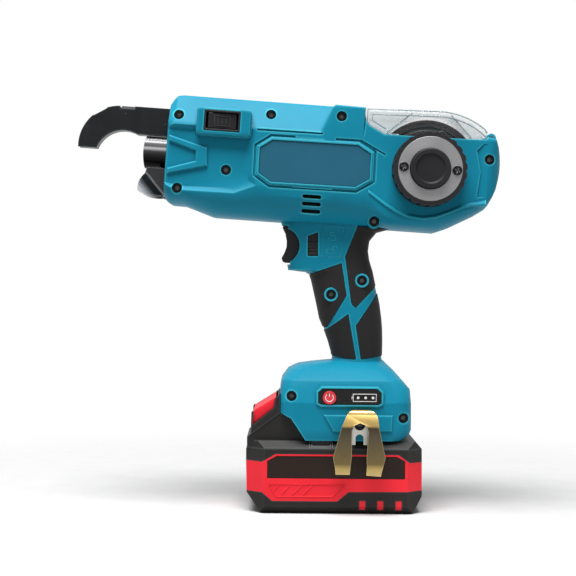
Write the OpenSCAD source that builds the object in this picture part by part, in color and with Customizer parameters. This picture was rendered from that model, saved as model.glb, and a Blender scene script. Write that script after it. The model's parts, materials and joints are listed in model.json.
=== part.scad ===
// Battery rebar tying tool, millimetres, +Z up, nose toward -X, photographed side toward -Y.
// The origin is the middle of the face that the battery stands on.

/* [Body] */
// Slope of the barrel line, nose up, in degrees
tilt = 3.6; // [2:0.1:5]
// Reel axis behind the middle of the battery
reel_x = 61; // [58:0.5:64]
// Reel axis above the surface that the battery stands on
reel_z = 221.6; // [218:0.2:226]
// Reel axis to the nose face
nose_len = 170; // [167:1:174]
// Reel axis to the rearmost point of the housing
rear_len = 47.3; // [46:0.1:49]
// Flat top above the reel axis
body_top = 39.2; // [38.6:0.1:40.5]
// Underside below the reel axis
body_low = 38.7; // [38:0.1:40]
// Half of the width across the flat sides
body_half = 32.5; // [31.5:0.1:34.5]
// Half of the width of the flat top
top_half = 18; // [16:0.5:20]
// Height where the sloped shoulder meets the flat side
waist_w = 19.5; // [18.8:0.1:20.5]
// Wall of the housing shells
wall = 2.6; // [2:0.1:3]

/* [Handle and foot] */
// Half of the width of the handle
handle_half = 17.5; // [16.5:0.1:18.5]
// Thickness of the soft grip pads
grip_t = 1.5; // [1.2:0.1:2]
// Underside of the foot above the resting surface
foot_z = 47; // [46:0.1:49]
// Half of the width of the foot
foot_half = 37.5; // [36.5:0.1:39]

/* [Nose] */
// Bar space of the hook, radius of its inner curve
hook_in_r = 18.8; // [17.8:0.1:19.6]
// Outer curve of the hook
hook_out_r = 27; // [26:0.1:28]
// Thickness of each hook side plate
hook_plate_t = 3; // [2:0.1:3.4]
// Width of the wire channel between the side plates
hook_gap = 6; // [4:0.1:6.6]
// Outer radius of the steel barrel
barrel_r = 10.8; // [10.2:0.1:11.2]
// Bore radius of the steel barrel
barrel_bore = 8.6; // [8.4:0.1:9]
// How far the barrel stands out of the nose
barrel_out = 16.6; // [14:0.1:18]
// Sheet thickness of the guide wings
wing_t = 2; // [1.2:0.1:2.4]

/* [Drives] */
// Radius of the twist motor
twist_r = 17.4; // [16:0.1:17.8]
// Radius of the feed motor
feed_r = 11; // [9.5:0.1:11.4]
// Tooth size of the twist gears
twist_mod = 0.7; // [0.66:0.01:0.72]
// Tooth size of the feed gears
feed_mod = 0.8; // [0.76:0.01:0.82]
// Height of the wire line above the reel axis
wire_w = 21.5; // [21.3:0.1:22]

/* [Reel] */
// Radius of the reel flanges
reel_r = 32.5; // [31.5:0.1:34.5]
// Half of the width of the reel
reel_half = 16.5; // [15:0.1:17.5]
// Radius of the outermost layer of wire
coil_r = 28.5; // [26:0.1:29.5]
// Thickness of the wire as it is drawn
wire_d = 1.2; // [1:0.05:1.25]
// Radius of the reel spindle
spindle_r = 9; // [8:0.1:9.5]
// Outer radius of the knob ring
knob_r = 23.7; // [23:0.1:25]
// How far the knob is pulled out to free the reel
knob_travel = 8; // [6:0.5:9]
// Half of the width of the clear cover
cover_half = 26; // [25:0.1:27.5]
// Wall of the clear cover
cover_wall = 1.8; // [1.4:0.1:2.2]

/* [Battery] */
// Half of the width of the battery
batt_half = 37.5; // [36.5:0.1:38.5]
// Wall of the battery cases
batt_wall = 2.4; // [2:0.1:2.6]
// Radius of one cell
cell_r = 9.1; // [8.6:0.05:9.2]
// Thickness of the red bumper band
band_t = 1.65; // [1.5:0.05:1.8]
// Room between the ends of the cells and the case
cell_room = 2.2; // [2:0.1:3.2]

/* [Fits] */
// Room between sliding or turning parts that do not guide each other
clear = 0.4; // [0.35:0.05:0.45]
// Running fit on a radius
fit = 0.05; // [0.03:0.01:0.08]
// Room between a seated part and its seat
seat = 0.15; // [0.1:0.05:0.2]

/* [Hidden] */
$fn = 48;

teal = [0.11, 0.52, 0.65];
black = [0.08, 0.08, 0.09];
steel = [0.72, 0.73, 0.75];
dark_steel = [0.25, 0.25, 0.27];
red = [0.9, 0.12, 0.15];
gold = [0.72, 0.56, 0.26];

// Places along the body, u from the reel axis (nose negative), w above it
nose_u = -nose_len;
twist_w = 1.4;
recess = 2.6;
frame_back = nose_u + 12;
frame_half = 16;
gear_front = nose_u + 24;
gear_back = gear_front + 25;
case_r = 26.3 * twist_mod;
feed_u = -76;
roll_pitch = 10 * feed_mod;
pinion_pitch = 7.5 * feed_mod;
roll_y = roll_pitch;
pinion_u = feed_u + (roll_pitch + pinion_pitch) * cos(18);
pinion_y = roll_y - (roll_pitch + pinion_pitch) * sin(18);
motor_back = pinion_u - feed_r - 2.2;
feed_top = 12;
feed_low = -24;
roll_low = max(17.6, twist_w + twist_r + 0.5);
roll_mid = roll_low + 2.4;
roll_top = roll_mid + 3;
bracket_low = roll_top + clear;
bracket_top = bracket_low + 2.6;
tube_r = 1.6;
cavity_end = -46;
ribs_u = [gear_front + 12, gear_back + 7, -98, -83, pinion_u, -52];

// Reel space and knob
chamber_r = reel_r + 3;
chamber_half = max(cover_half - 2.5, reel_half + 4);
knob_in = body_half + 0.7;
knob_out = knob_in + 14;
web_in = knob_out - 4.5;
boss_y = reel_half + 1.2;
coil_pitch = wire_d + 0.55;
coil_turns = floor((2 * (reel_half - 2) - wire_d - 0.6) / coil_pitch);
echo(str("least gap between loops of the wound wire: ", coil_pitch - wire_d, " mm"));

// Hook curves
hook_c = [nose_u - 30.5, -4.2];
hook_o = [nose_u - 33.5, 3.5];
hook_low = twist_w + barrel_r + 0.3;
hook_top = hook_o.y + hook_out_r + 0.2;
hook_half = hook_gap / 2 + hook_plate_t;
hook_back = nose_u + 18;
bolt_top = [nose_u + 6.6, 25];
bolt_low = [nose_u + 8.9, -22.6];
bolt_r = 1.6;

// Handle and foot heights, moved with the body above and the foot below
up = reel_z - 221.6;
down = foot_z - 47;
function lift(z) = z >= 150 ? z + up : 97 + down + (z - 97) * (53 + up - down) / 53;
deck_z = foot_z - clear;
lip_z = foot_z + 8.4;
slot_z = foot_z + 14.4;
rail_half = 18;
head_half = 22;
rail_end = 36;
split_z = deck_z - 5;
side_y = foot_half + 1.2;
hook_y = side_y + 0.2;
sheet_t = 1.6;
trigger_half = 8.8;
switch_half = 10;
press = [0.508, 0, -0.862];

// Screws: place across the side, seat depth, reach past the middle, in the body frame and upright
body_screws = [
    [bolt_top.x, bolt_top.y, 24.2, 22], [bolt_low.x, bolt_low.y, 26.5, 22], [-103.9, 29.6, 20, 12],
    [-58.2, 30.9, 28.4, 12], [39.1, 9.9, 27, 12]];
row_screws = [
    [26.8, lift(188.8), 20, 12], [-0.6, lift(141), 13, 10], [19.6, lift(150.3), 13, 10],
    [-26, 75.6 + down, foot_half - 4.5, 12], [46, 61.9 + down, foot_half - 5.5, 12]];
short_screw = [nose_u + 39.6, -8.8, body_half - 6];

function turned(p) = [for (i = [len(p) - 1:-1:0]) p[i]];
function bend(a, b, c, r, k) =
    let (e = (a - b) / norm(a - b), f = (c - b) / norm(c - b))
    let (t = min(r, 0.45 * min(norm(a - b), norm(c - b))))
    [for (i = [0:k]) let (s = i / k)
        (1 - s) * (1 - s) * (b + t * e) + 2 * s * (1 - s) * b + s * s * (b + t * f)];
function soft(p, r, k = 3) =
    let (n = len(p)) [for (i = [0:n - 1]) each bend(p[(i + n - 1) % n], p[i], p[(i + 1) % n], r, k)];
function side_normal(a, b) = let (d = (b - a) / norm(b - a)) [-d.y, d.x];
function inset(p, d) =
    let (n = len(p))
    [for (i = [0:n - 1])
        let (m = side_normal(p[(i + n - 1) % n], p[i]), q = side_normal(p[i], p[(i + 1) % n]))
        p[i] + d * (m + q) / (1 + m * q)];
function box_points(x0, z0, x1, z1) = [[x0, z0], [x1, z0], [x1, z1], [x0, z1]];

// Solid through closed loops of equal length
module loft(rings) {
    n = len(rings[0]);
    m = len(rings);
    polyhedron(
        points = [for (r = rings) each r],
        faces = concat(
            [[for (i = [0:n - 1]) i]],
            [[for (i = [n - 1:-1:0]) (m - 1) * n + i]],
            [for (k = [0:m - 2], i = [0:n - 1])
                let (a = k * n + i, b = k * n + (i + 1) % n) each [[a, a + n, b], [b, a + n, b + n]]]),
        convexity = 8);
}

// Plate of a side-view outline from depth d0 to d1, its outer edge rounded
module plate(p, d0, d1, r = 0.8, steps = 2)
    loft([for (k = [-1:steps])
        let (a = max(0, 90 * k / steps))
        let (d = k < 0 ? d0 : d1 - r + r * sin(a))
        turned([for (q = inset(p, r * (1 - cos(a)))) [q.x, d, q.y]])]);

// Side-view outline across the middle plane with both edges rounded
module slug(p, d, r = 1.5, steps = 2)
    loft([for (k = [-steps:steps + 1])
        let (s = k <= 0 ? -1 : 1)
        let (a = k <= 0 ? -90 * k / steps : 90 * (k - 1) / steps)
        turned([for (q = inset(p, r * (1 - cos(a)))) [q.x, s * (d - r + r * sin(a)), q.y]])]);

// Tapered pocket between two outlines with the same number of points
module taper(p, d0, q, d1)
    loft([turned([for (a = p) [a.x, d0, a.y]]), turned([for (a = q) [a.x, d1, a.y]])]);

// Rib along a line of points, highest in its middle
module crest(p, d0, d1, above, below)
    loft([for (i = [0:len(p) - 1])
        let (t = 2 * i / (len(p) - 1) - 1)
        let (d = d1 - 0.27 * (d1 - d0) * t * t)
        [[p[i].x, d, p[i].y - 0.6], [p[i].x, d, p[i].y + 0.4],
            [p[i].x, d0, p[i].y + above], [p[i].x, d0, p[i].y - below]]]);

// Straight block of a side-view outline
module slab(p, y0, y1)
    translate([0, y1, 0]) rotate([90, 0, 0]) linear_extrude(y1 - y0) polygon(p);

// Round bar along Y at a side-view place
module bar(p, r, y0, y1)
    translate([p.x, y1, p.y]) rotate([90, 0, 0]) cylinder(r = r, h = y1 - y0);

// Round bar along the body
module rod(r, u0, u1, w = twist_w)
    translate([u0, 0, w]) rotate([0, 90, 0]) cylinder(r = r, h = u1 - u0);

module in_body() translate([reel_x, 0, reel_z]) rotate([0, tilt, 0]) children();

module left_side() mirror([0, 1, 0]) children();

// Wire of radius r through a list of points with the directions along them
module wire_along(centres, ways, r, sides = 6)
    loft([for (i = [0:len(centres) - 1])
        let (d = ways[i] / norm(ways[i]))
        let (a = cross(d, [0, 1, 0.001]), e = a / norm(a), f = cross(d, e))
        [for (k = [0:sides - 1]) centres[i] + r * (cos(360 * k / sides) * e + sin(360 * k / sides) * f)]]);

// Coil spring along Y from y0 to y1 with its ends closed
module spring_y(radius, r, y0, y1, turns) {
    n = 8 * turns;
    rise = (y1 - y0 - 2 * r) / 360 / turns;
    c = [for (i = [0:n]) let (a = 45 * i) [radius * cos(a), y0 + r + rise * a, radius * sin(a)]];
    d = [for (i = [0:n]) let (a = 45 * i) [-radius * sin(a), rise * 57.3, radius * cos(a)]];
    wire_along(turned(c), turned([for (v = d) -v]), r);
}

// Involute spur gear outline; internal gears get the same flanks as a space
function roll(a) = tan(a) * 57.2958 - a;
function flank(n, mod, r, play) =
    90 / n + roll(20) - roll(acos(min(1, n * mod / 2 * cos(20) / r))) - play / (n * mod / 2) * 28.65;
function gear_points(n, mod, root, tip, play) =
    let (rs = [root, n * mod / 2, (n * mod / 2 + tip) / 2, tip])
    [for (i = [0:n - 1]) each concat(
        [for (r = rs) let (a = 360 * i / n - flank(n, mod, r, play)) r * [cos(a), sin(a)]],
        [for (r = turned(rs)) let (a = 360 * i / n + flank(n, mod, r, play)) r * [cos(a), sin(a)]])];
module spur(n, mod, h, play = 0.14)
    linear_extrude(h) polygon(gear_points(n, mod, n * mod / 2 - 1.15 * mod, n * mod / 2 + 0.85 * mod, play));

// Cross-section of the body: half widths and heights along u
function top_at(u) = lookup(u, [
    [nose_u, body_top - 7], [nose_u + 3.6, body_top - 0.7], [nose_u + 8, body_top], [-43.2, body_top - 0.4],
    [-42.4, 31], [-38, 28], [40.5, 24.4], [rear_len - 3.6, 23.6], [rear_len - 2, 19], [rear_len, 11]]);
function low_at(u) = lookup(u, [
    [nose_u, 9.9 - body_low], [nose_u + 1.6, 7.7 - body_low], [nose_u + 4, 6.2 - body_low],
    [nose_u + 13.3, 6.1 - body_low], [nose_u + 31, 0.5 - body_low], [nose_u + 33.5, -body_low],
    [9, -body_low], [18, 3.6 - body_low], [26.4, 8.5 - body_low], [rear_len - 9.8, -24],
    [rear_len - 6.3, -19.9], [rear_len - 4.3, -16], [rear_len - 2.1, -10.5], [rear_len - 0.9, -4],
    [rear_len, 1]]);
function half_at(u) = body_half - lookup(u, [
    [nose_u, 4], [nose_u + 0.8, 2.2], [nose_u + 2.2, 0.9], [nose_u + 4.5, 0], [30, 0], [rear_len - 9.8, 0.8],
    [rear_len - 6.3, 2], [rear_len - 4, 3.6], [rear_len - 2.1, 6], [rear_len - 0.9, 8.4], [rear_len, 12]]);
function ridge_at(u) = lookup(u, [
    [nose_u, -21], [nose_u + 13.5, -24], [-124, -23.8], [-110, -17.8], [-46, -18.5], [-39, -18.5],
    [-33, -23.3], [-26.7, -28], [-19, -31], [-11.5, -32.5], [-4, -32], [3.8, -30.5], [16.7, -25.7],
    [25.8, -22.2], [rear_len - 8.4, -17], [rear_len - 4, -11], [rear_len - 2.1, -6], [rear_len, 3]]);
function section(u, i = 0, y0 = 0) =
    let (h = half_at(u) - i - (i > 0 ? recess : 0), t = top_at(u) - i, b = low_at(u) + i, g = ridge_at(u))
    let (k = min(11, h - 8))
    let (w = waist_w - 0.4 * i, s = top_half - 0.5 * i)
    let (edge = u > -43
        ? [[h, t - 3], [h - 0.3, t - 1.6], [h - 0.9, t - 0.8],
            [h - 1.6, t - 0.3], [h - 2.4, t - 0.1], [h - 3.4, t]]
        : [[h, w - 1.6], [h - 0.4, w + 0.2], [h - 1.5, w + 1.9],
            [s + 1, t - 1.4], [s - 0.5, t - 0.4], [s - 2.6, t]])
    [for (p = concat(
        [[y0, b]],
        [for (a = [0:15:90]) [k + (h - k) * sin(a), g - (g - b) * cos(a)]],
        edge,
        [[y0, t]])) [u, p.x, p.y]];
module body_outer()
    loft([for (u = [nose_u, nose_u + 0.8, nose_u + 2.2, nose_u + 4.5, nose_u + 8, nose_u + 13.4, nose_u + 31,
        nose_u + 33.5, -124, -110, -60, -43.2, -42.4, -39, -33, -26.7, -19, -11.5, -4, 3.8, 9, 16.7, 25.8, 33,
        rear_len - 8.4, rear_len - 6.3, rear_len - 4, rear_len - 2.1, rear_len - 0.9, rear_len]) section(u)]);
module body_cavity()
    loft([for (u = [nose_u + wall + 0.6, nose_u + 8, nose_u + 13.4, nose_u + 31, nose_u + 33.5, -124, -110,
        -60, cavity_end]) section(u, wall, -1)]);

// Handle: height, front, back, half width, fullness of the section
handle_rows = [
    [94, -3, 36, 18, 2.8], [96.5, -0.5, 34.2, 16.6, 2.6], [99, 0.8, 33.7, 16.2, 2.5],
    [103, 0.4, 33.7, 16.4, 2.5], [110.5, -1.8, 33.8, 16.9, 2.5], [118, -4.6, 33.6, 17.3, 2.5],
    [125.2, -7.6, 33, 17.5, 2.5], [134.8, -9.6, 31.7, 17.5, 2.5], [144.4, -11.8, 29.6, 17.3, 2.5],
    [150.4, -13.2, 28.2, 17, 2.5],
    [153.8, -14.4, 27.5, 16.9, 2.6], [155.7, -17.6, 27.1, 16.8, 2.8], [157, -29, 26.8, 16.7, 3],
    [160.3, -29.5, 25.7, 16.6, 3], [164, -29.5, 24.6, 16.5, 3], [170, -29.5, 23.7, 16.5, 3.2],
    [176.6, -29.5, 24.6, 16.5, 3.4], [182.2, -29.6, 29.2, 16.8, 3.8], [184.2, -30, 36.5, 17, 4],
    [185.6, -30, 46, 17.3, 4], [188, -30, 50, 17.5, 4], [192, -30, 52, 17.5, 4]];
function handle_ring(r, i = 0, y0 = 0) =
    let (a = (r[2] - r[1]) / 2 - i, b = r[3] * handle_half / 17.5 - i, m = (r[1] + r[2]) / 2)
    concat([for (k = [0:14]) let (c = cos(180 * k / 14), s = sin(180 * k / 14))
        [m + a * sign(c) * pow(abs(c), 2 / r[4]), max(y0, b * pow(abs(s), 2 / r[4])), lift(r[0])]],
        y0 < 0 ? [[m - a, y0, lift(r[0])], [m + a, y0, lift(r[0])]] : []);
module handle_outer(i = 0, first = 0, last = 21)
    loft([for (k = [first:last]) handle_ring(handle_rows[k], i)]);
module handle_cavity()
    loft([for (k = [3:10]) handle_ring(handle_rows[k], wall + grip_t, -1)]);

// Foot: height above its underside, front, back, loss of half width, corner radius
foot_rows = [
    [0, -33.4, 45.5, 1, 9], [3.5, -33.4, 50.3, 0.3, 10], [7, -33.4, 51.6, 0, 10], [24.1, -33.4, 51.5, 0, 10],
    [24.9, -33.4, 51.4, 0.12, 10], [33, -33.4, 50.8, 2.5, 10.4], [38.2, -32.4, 46.3, 4.1, 10.8],
    [39, -32, 45.6, 4.8, 11], [44.8, -28, 40.5, 11.4, 12], [47.9, -22, 37.3, 16.4, 12],
    [49.3, -14, 35.8, 19.6, 13], [50.5, -4, 34.6, 23, 13]];
function foot_ring(r, i = 0, y0 = 0) =
    let (f = r[1] + i, b = r[2] - i, h = foot_half - r[3] - i, c = r[4] - i / 2, z = foot_z + r[0])
    concat([[b, y0, z]],
        [for (a = [0:22.5:90]) [b - c + c * cos(a), h - c + c * sin(a), z]],
        [for (a = [90:22.5:180]) [f + c + c * cos(a), h - c + c * sin(a), z]],
        [[f, y0, z]]);
module foot_outer()
    difference() {
        loft([for (r = foot_rows) foot_ring(r)]);
        slab([[-40, foot_z - 9], [-16.9, foot_z - 9], [-16.9, foot_z], [-23.2, foot_z + 9.8],
            [-26.3, foot_z + 14.2], [-33.3, foot_z + 17.6], [-40, foot_z + 17.6]], -1, 50);
    }
module foot_cavity()
    difference() {
        loft([for (k = [3, 5, 7, 8]) foot_ring(foot_rows[k] + [k == 3 ? -6 : 0, 0, 0, 0, 0], wall, -1)]);
        for (x = [-12, 24]) translate([x, -2, foot_z + 10]) cube([3, 60, 40]);
    }

label_shape = [[-110.7, 7.7], [-110.4, -10], [-101.3, -15.8], [-46.1, -15.3], [-36.2, -8.9], [-36.5, 8.8],
    [-46, 14.3], [-102.1, 13.8]];
panel_shape = [for (p = [[-8.8, 71.5], [-6.8, 70.4], [29.6, 70.4], [31.6, 71.5], [31.6, 78.2], [29, 80.6],
    [-6.2, 80.6], [-8.8, 78.2]]) p + [0, down]];
pad_shape = [for (p = [[0.8, 53.1], [38.6, 53.4], [39, 63.7], [-5.3, 63.8]]) p + [0, down]];
bezel_shape = soft([for (p = [[19.2, 12.8], [53.8, 12.8], [53.8, 30.4], [18.6, 30.4]]) p + [nose_u, 0]], 2.5);
rocker_at = [nose_u + 35.2, 22.1];
nose_ribs = [
    [[1.6, -13.8], [27.2, -7.2], [22, -3.6], [1.6, -10.2]],
    [[19.6, -6.4], [27.4, -7.4], [26.5, 5], [19.2, 3.4]],
    [[1.6, 7.4], [22, 1.2], [26.3, 4.6], [1.6, 11.2]]];
reel_rib = [[-37.6, -16.4], [-26.6, -23.7], [-18.4, -28.1], [-10.9, -30.6], [-1.1, -31.2], [6.8, -29.7],
    [14.7, -26.4], [22.6, -22.5], [28.8, -20.4], [34.3, -19.5], [38.6, -18.9]];
reel_rib_rise = 1.7;
rear_recess = [[30.5, 15], [34.7, 19.8], [60, 20.6], [60, -13.2], [32.4, -15], [33.9, 1.6]];
lock_window = [for (p = [[-16.2, 166.1], [-9.4, 166.1], [-9.4, 181.8], [-16.2, 179.4]]) [p.x, lift(p.y)]];
grip_shapes = [
    [[-20, 152.6], [-20, 118.9], [-3, 119.4], [9.6, 140.5], [6.2, 161.6]],
    [[8.4, 165.9], [12.6, 135], [15.5, 132.4], [42, 160], [30, 176], [50, 184], [50, 187], [32, 191],
        [19, 192.4]],
    [[-20, 117.6], [-3.4, 117.9], [10.8, 128.4], [16.2, 98.6], [8.7, 99], [-5, 101.8]],
    [[42, 159], [15.7, 120.7], [19.2, 98.6], [32.5, 100.6], [42, 101]]];

// Outline of the clear cover, which is also taken out of the housing
cover_shape = concat(
    [[-42.3, 38.6], [-42.2, 29], [-39.9, 26.2], [-29.8, 21.2], [10, 21.6], [36.2, 22.4], [37.6, 25]],
    [for (a = [51:6.5:90]) [6.2 + 50.7 * cos(a), -10.4 + 50.7 * sin(a)]],
    [[-13.3, 39.7]]);
hinge_at = [rear_len - 6.6, 25];
hinge_r = 3.2;

module screw_holes(list, core) for (s = list) {
    bar([s[0], s[1]], 3.3, s[2], 60);
    bar([s[0], s[1]], core, -1, s[2] + 1);
}
module bosses(list) for (s = list) bar([s[0], s[1]], 4.2, -2, 60);

module pockets_in_body() {
    rod(case_r + seat, gear_front - 6, gear_back + 0.2);
    rod(twist_r + seat, gear_back, motor_back + seat);
    rod(tube_r + seat, nose_u, -31, wire_w);
    translate([pinion_u, pinion_y, feed_low - seat]) cylinder(r = feed_r + seat, h = 60);
    translate([pinion_u, -pinion_y, feed_low - seat]) cylinder(r = feed_r + seat, h = 60);
    translate([feed_u - 9.4, -1, bracket_low - seat]) cube([26 + 0.4, 23 + seat, 2.6 + 2 * seat]);
    translate([feed_u - 10, -1, roll_low - 1]) cube([30, 20, 9]);
    translate([nose_u - 3, -1, 9.9 - body_low + 1]) cube([15 + seat, frame_half + seat + 1, body_low + 21.5]);
    translate([frame_back - 1, -1, -28]) cube([13.4, frame_half, 60]);
}

module body_half_shell(left)
    difference() {
        union() {
            body_outer();
            plate([[-73, 16], [-43, 16], [-43, 37.9], [-62.6, 38.3], [-64.6, 36.4]], 8, body_half, 1.4);
            plate(inset(label_shape, -0.3), 20, body_half + 0.5, 0.5, 1);
            if (left) plate(bezel_shape, 12, body_half + 3.6, 1.2, 2);
            crest(reel_rib, body_half - 1.5, body_half + reel_rib_rise, 2.8, 1.8);
            bar(hinge_at, hinge_r, 11, 19);
            slab(box_points(hinge_at.x - 3, 18, hinge_at.x + hinge_r, hinge_at.y), 11, 19);
        }
        difference() {
            taper([[nose_u - 3, -18.9], [nose_u + 13, -21.2], [nose_u + 45, -20], [nose_u + 54.5, -14.5],
                [nose_u + 53.6, -9], [nose_u + 52.4, 8], [nose_u + 51, 15.8], [nose_u - 3, 15.8]],
                body_half - recess,
                [[nose_u - 3, -21.5], [nose_u + 13.6, -24], [nose_u + 46, -23.7], [nose_u + 60, -17.5],
                [nose_u + 58, -9.5], [nose_u + 57.4, 9], [nose_u + 56, 18.8], [nose_u - 3, 18.8]],
                body_half + 0.2);
            for (p = nose_ribs) plate([for (q = p) q + [nose_u, 0]], 20, body_half - 0.7, 0.7, 1);
            if (left) slab(inset(bezel_shape, -0.6), 12, 60);
        }
        slab(inset(label_shape, 1.2), body_half - 0.8, 50);
        difference() {
            slab(inset(label_shape, -2.4), body_half - 1, 50);
            slab(inset(label_shape, -0.9), 10, 51);
            for (w = [-17, 15]) translate([-87, 10, w]) cube([26, 50, 4]);
        }
        slab([[nose_u + 58, 17.9], [-70, 18.2], [-69.2, 19.4], [nose_u + 58, 19.2]], body_half - 1.2, 50);
        slab([[-45.2, 15.8], [-28.4, 7.6], [-27.9, 8.5], [-44.6, 16.8]], body_half - 0.9, 50);
        slab(rear_recess, body_half - 1.1, 60);
        for (k = [0:2], x = [-78.7, -68.8]) bar([x, -22.2 - 4.6 * k], 1.2, 6, 50);
        for (k = [0:2]) slab(box_points(-78.7, -23.4 - 4.6 * k, -68.8, -21 - 4.6 * k), 6, 50);
        slab(cover_shape, -1, 60);
        slab([[-44, 60], [-42.4, 60], [-42.4, 38], [-13, 39], [36, 26.4], [hinge_at.x - hinge_r - 0.4, 25],
            [hinge_at.x - hinge_r - 0.4, 60]], -1, 60);
        difference() {
            bar([0, 0], chamber_r, -1, chamber_half);
            bar([0, 0], 14, boss_y, 60);
        }
        slab(box_points(-30, 18, 30, 30), -1, chamber_half);
        slab(box_points(hinge_at.x - hinge_r - 0.5, hinge_at.y - hinge_r - 0.5, 60, 60), -1, 10.6);
        bar(hinge_at, 1.5 + fit, -1, 19.5);
        difference() {
            body_cavity();
            for (u = ribs_u) translate([u - 1.5, -2, -60]) cube([3, 100, 120]);
            bosses(body_screws);
            bar([short_screw[0], short_screw[1]], 4.2, 8, 60);
        }
        pockets_in_body();
        screw_holes(body_screws, left ? bolt_r + 0.15 : bolt_r + fit);
        if (left) {
            bar([short_screw[0], short_screw[1]], 3.3, short_screw[2], 60);
            bar([short_screw[0], short_screw[1]], bolt_r + fit, case_r - 1, 60);
            bar([0, 0], spindle_r + fit, -1, 60);
            slab(box_points(rocker_at.x - 11.7, rocker_at.y - 6.7, rocker_at.x + 11.7, rocker_at.y + 6.7),
                12, 60);
        } else {
            bar([0, 0], spindle_r + seat, -1, 27);
            bar([0, 0], 12 + seat, 24, 60);
        }
    }

module housing_half(left)
    difference() {
        union() {
            in_body() body_half_shell(left);
            difference() {
                union() {
                    difference() {
                        union() {
                            handle_outer(grip_t - 0.6);
                            difference() {
                                handle_outer();
                                for (g = grip_shapes) slab([for (p = g) [p.x, lift(p.y)]], -1, 60);
                            }
                        }
                        in_body() bar([0, 0], chamber_r + 3, -1, 60);
                        in_body() slab(box_points(nose_u, 2 - body_low, 60, 30), -1, 60);
                    }
                    foot_outer();
                    slab([for (p = [[-33.8, 188.6], [-33.4, 187], [-31, 186.3], [-24, 186.3], [-24, 188.6]])
                        [p.x, lift(p.y)]], trigger_half + 1, trigger_half + 2.4);
                    if (left) plate(inset(panel_shape, -1.5), 28, side_y, 0.7);
                    plate(pad_shape, 28, side_y, 0.7);
                    for (s = row_screws) if (s[1] > lift(135)) bar([s[0], s[1]], 4.6, 2, s[2] + 3.8);
                }
                difference() {
                    handle_cavity();
                    bosses(row_screws);
                }
                difference() {
                    foot_cavity();
                    bosses(row_screws);
                }
                translate([8, -1, foot_z + 38]) cube([18, 9, lift(106) - foot_z - 38]);
            }
        }
        bar([-33.5, lift(173)], 12, -1, 60);
        translate([-40, -1, lift(160.6)]) cube([40 - 12.4, trigger_half + clear + 1, 25.6]);
        translate([-12.5 - seat, -1, lift(161)]) cube([26.6 + 2 * seat, switch_half + seat + 1, 23.4]);
        translate([-8, -1, lift(184)]) cube([14, 7, 10]);
        translate([1, -1, lift(150)]) cube([8, 8, 12]);
        translate([-60, -1, foot_z - 1]) cube([60 + rail_end + clear, rail_half + clear + 1, 12]);
        translate([-60, -1, lip_z]) cube([60 + rail_end + clear, head_half + clear + 1, slot_z - lip_z]);
        translate([rail_end, -1, foot_z + 1.8]) cube([8.4, 15 + seat, slot_z - foot_z - 1.8]);
        translate([-24 - seat, -1, foot_z + 19 - seat]) cube([56 + 2 * seat, 25 + seat, 1.6 + 2 * seat]);
        screw_holes(row_screws, left ? bolt_r + 0.15 : bolt_r + fit);
        bar([17.7, 58 + down], 2, 26, 60);
        if (left) {
            slab(lock_window, switch_half + 1, 60);
            slab(inset(panel_shape, -seat), side_y - 2, 60);
            bar([-1.7, 74.9 + down], 4.4, side_y - 5.4, 60);
        }
    }

module housing_left() color(teal) left_side() housing_half(true);
module housing_right() color(teal) housing_half(false);

// Soft pads let into the handle
module grip_half()
    difference() {
        intersection() {
            handle_outer(-0.5);
            union() for (g = grip_shapes)
                slab([for (p = inset(turned_ccw(g), 0.35)) [p.x, lift(p.y)]], -1, 60);
        }
        handle_outer(grip_t - 0.6 - seat / 3);
        in_body() bar([0, 0], chamber_r + 3.1, -1, 60);
        in_body() slab(box_points(nose_u, -0.1 - body_low, 60, 30), -1, 60);
        for (s = row_screws) bar([s[0], s[1]], 4.8, -1, 60);
        bar([-33.5, lift(173)], 12, -1, 60);
    }
function area2(p) =
    let (n = len(p)) [for (i = [0:n - 1]) cross(p[i], p[(i + 1) % n])] * [for (i = [0:n - 1]) 1];
function turned_ccw(p) = area2(p) > 0 ? p : turned(p);
module grip_left() color(black) left_side() grip_half();
module grip_right() color(black) grip_half();

// Socket head screws that join the two shells, and one short one in the left shell
module cap_screw(s)
    difference() {
        union() {
            bar([s[0], s[1]], 3, -s[2] - 2.4, -s[2]);
            bar([s[0], s[1]], bolt_r, -s[2] - 0.5, s[3]);
        }
        translate([s[0], -s[2] - 0.8, s[1]]) rotate([90, 0, 0]) cylinder(r = 1.5, h = 5, $fn = 6);
    }
module housing_screws() color(black) {
    in_body() for (s = body_screws) cap_screw(s);
    in_body() cap_screw([short_screw[0], short_screw[1], short_screw[2], -case_r - 0.5]);
    for (s = row_screws) cap_screw(s);
}
module side_labels() color([0.14, 0.38, 0.5]) in_body() {
    plate(inset(label_shape, 1.35), body_half - 0.8, body_half - 0.1, 0.2, 1);
    left_side() plate(inset(label_shape, 1.35), body_half - 0.8, body_half - 0.1, 0.2, 1);
}

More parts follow.
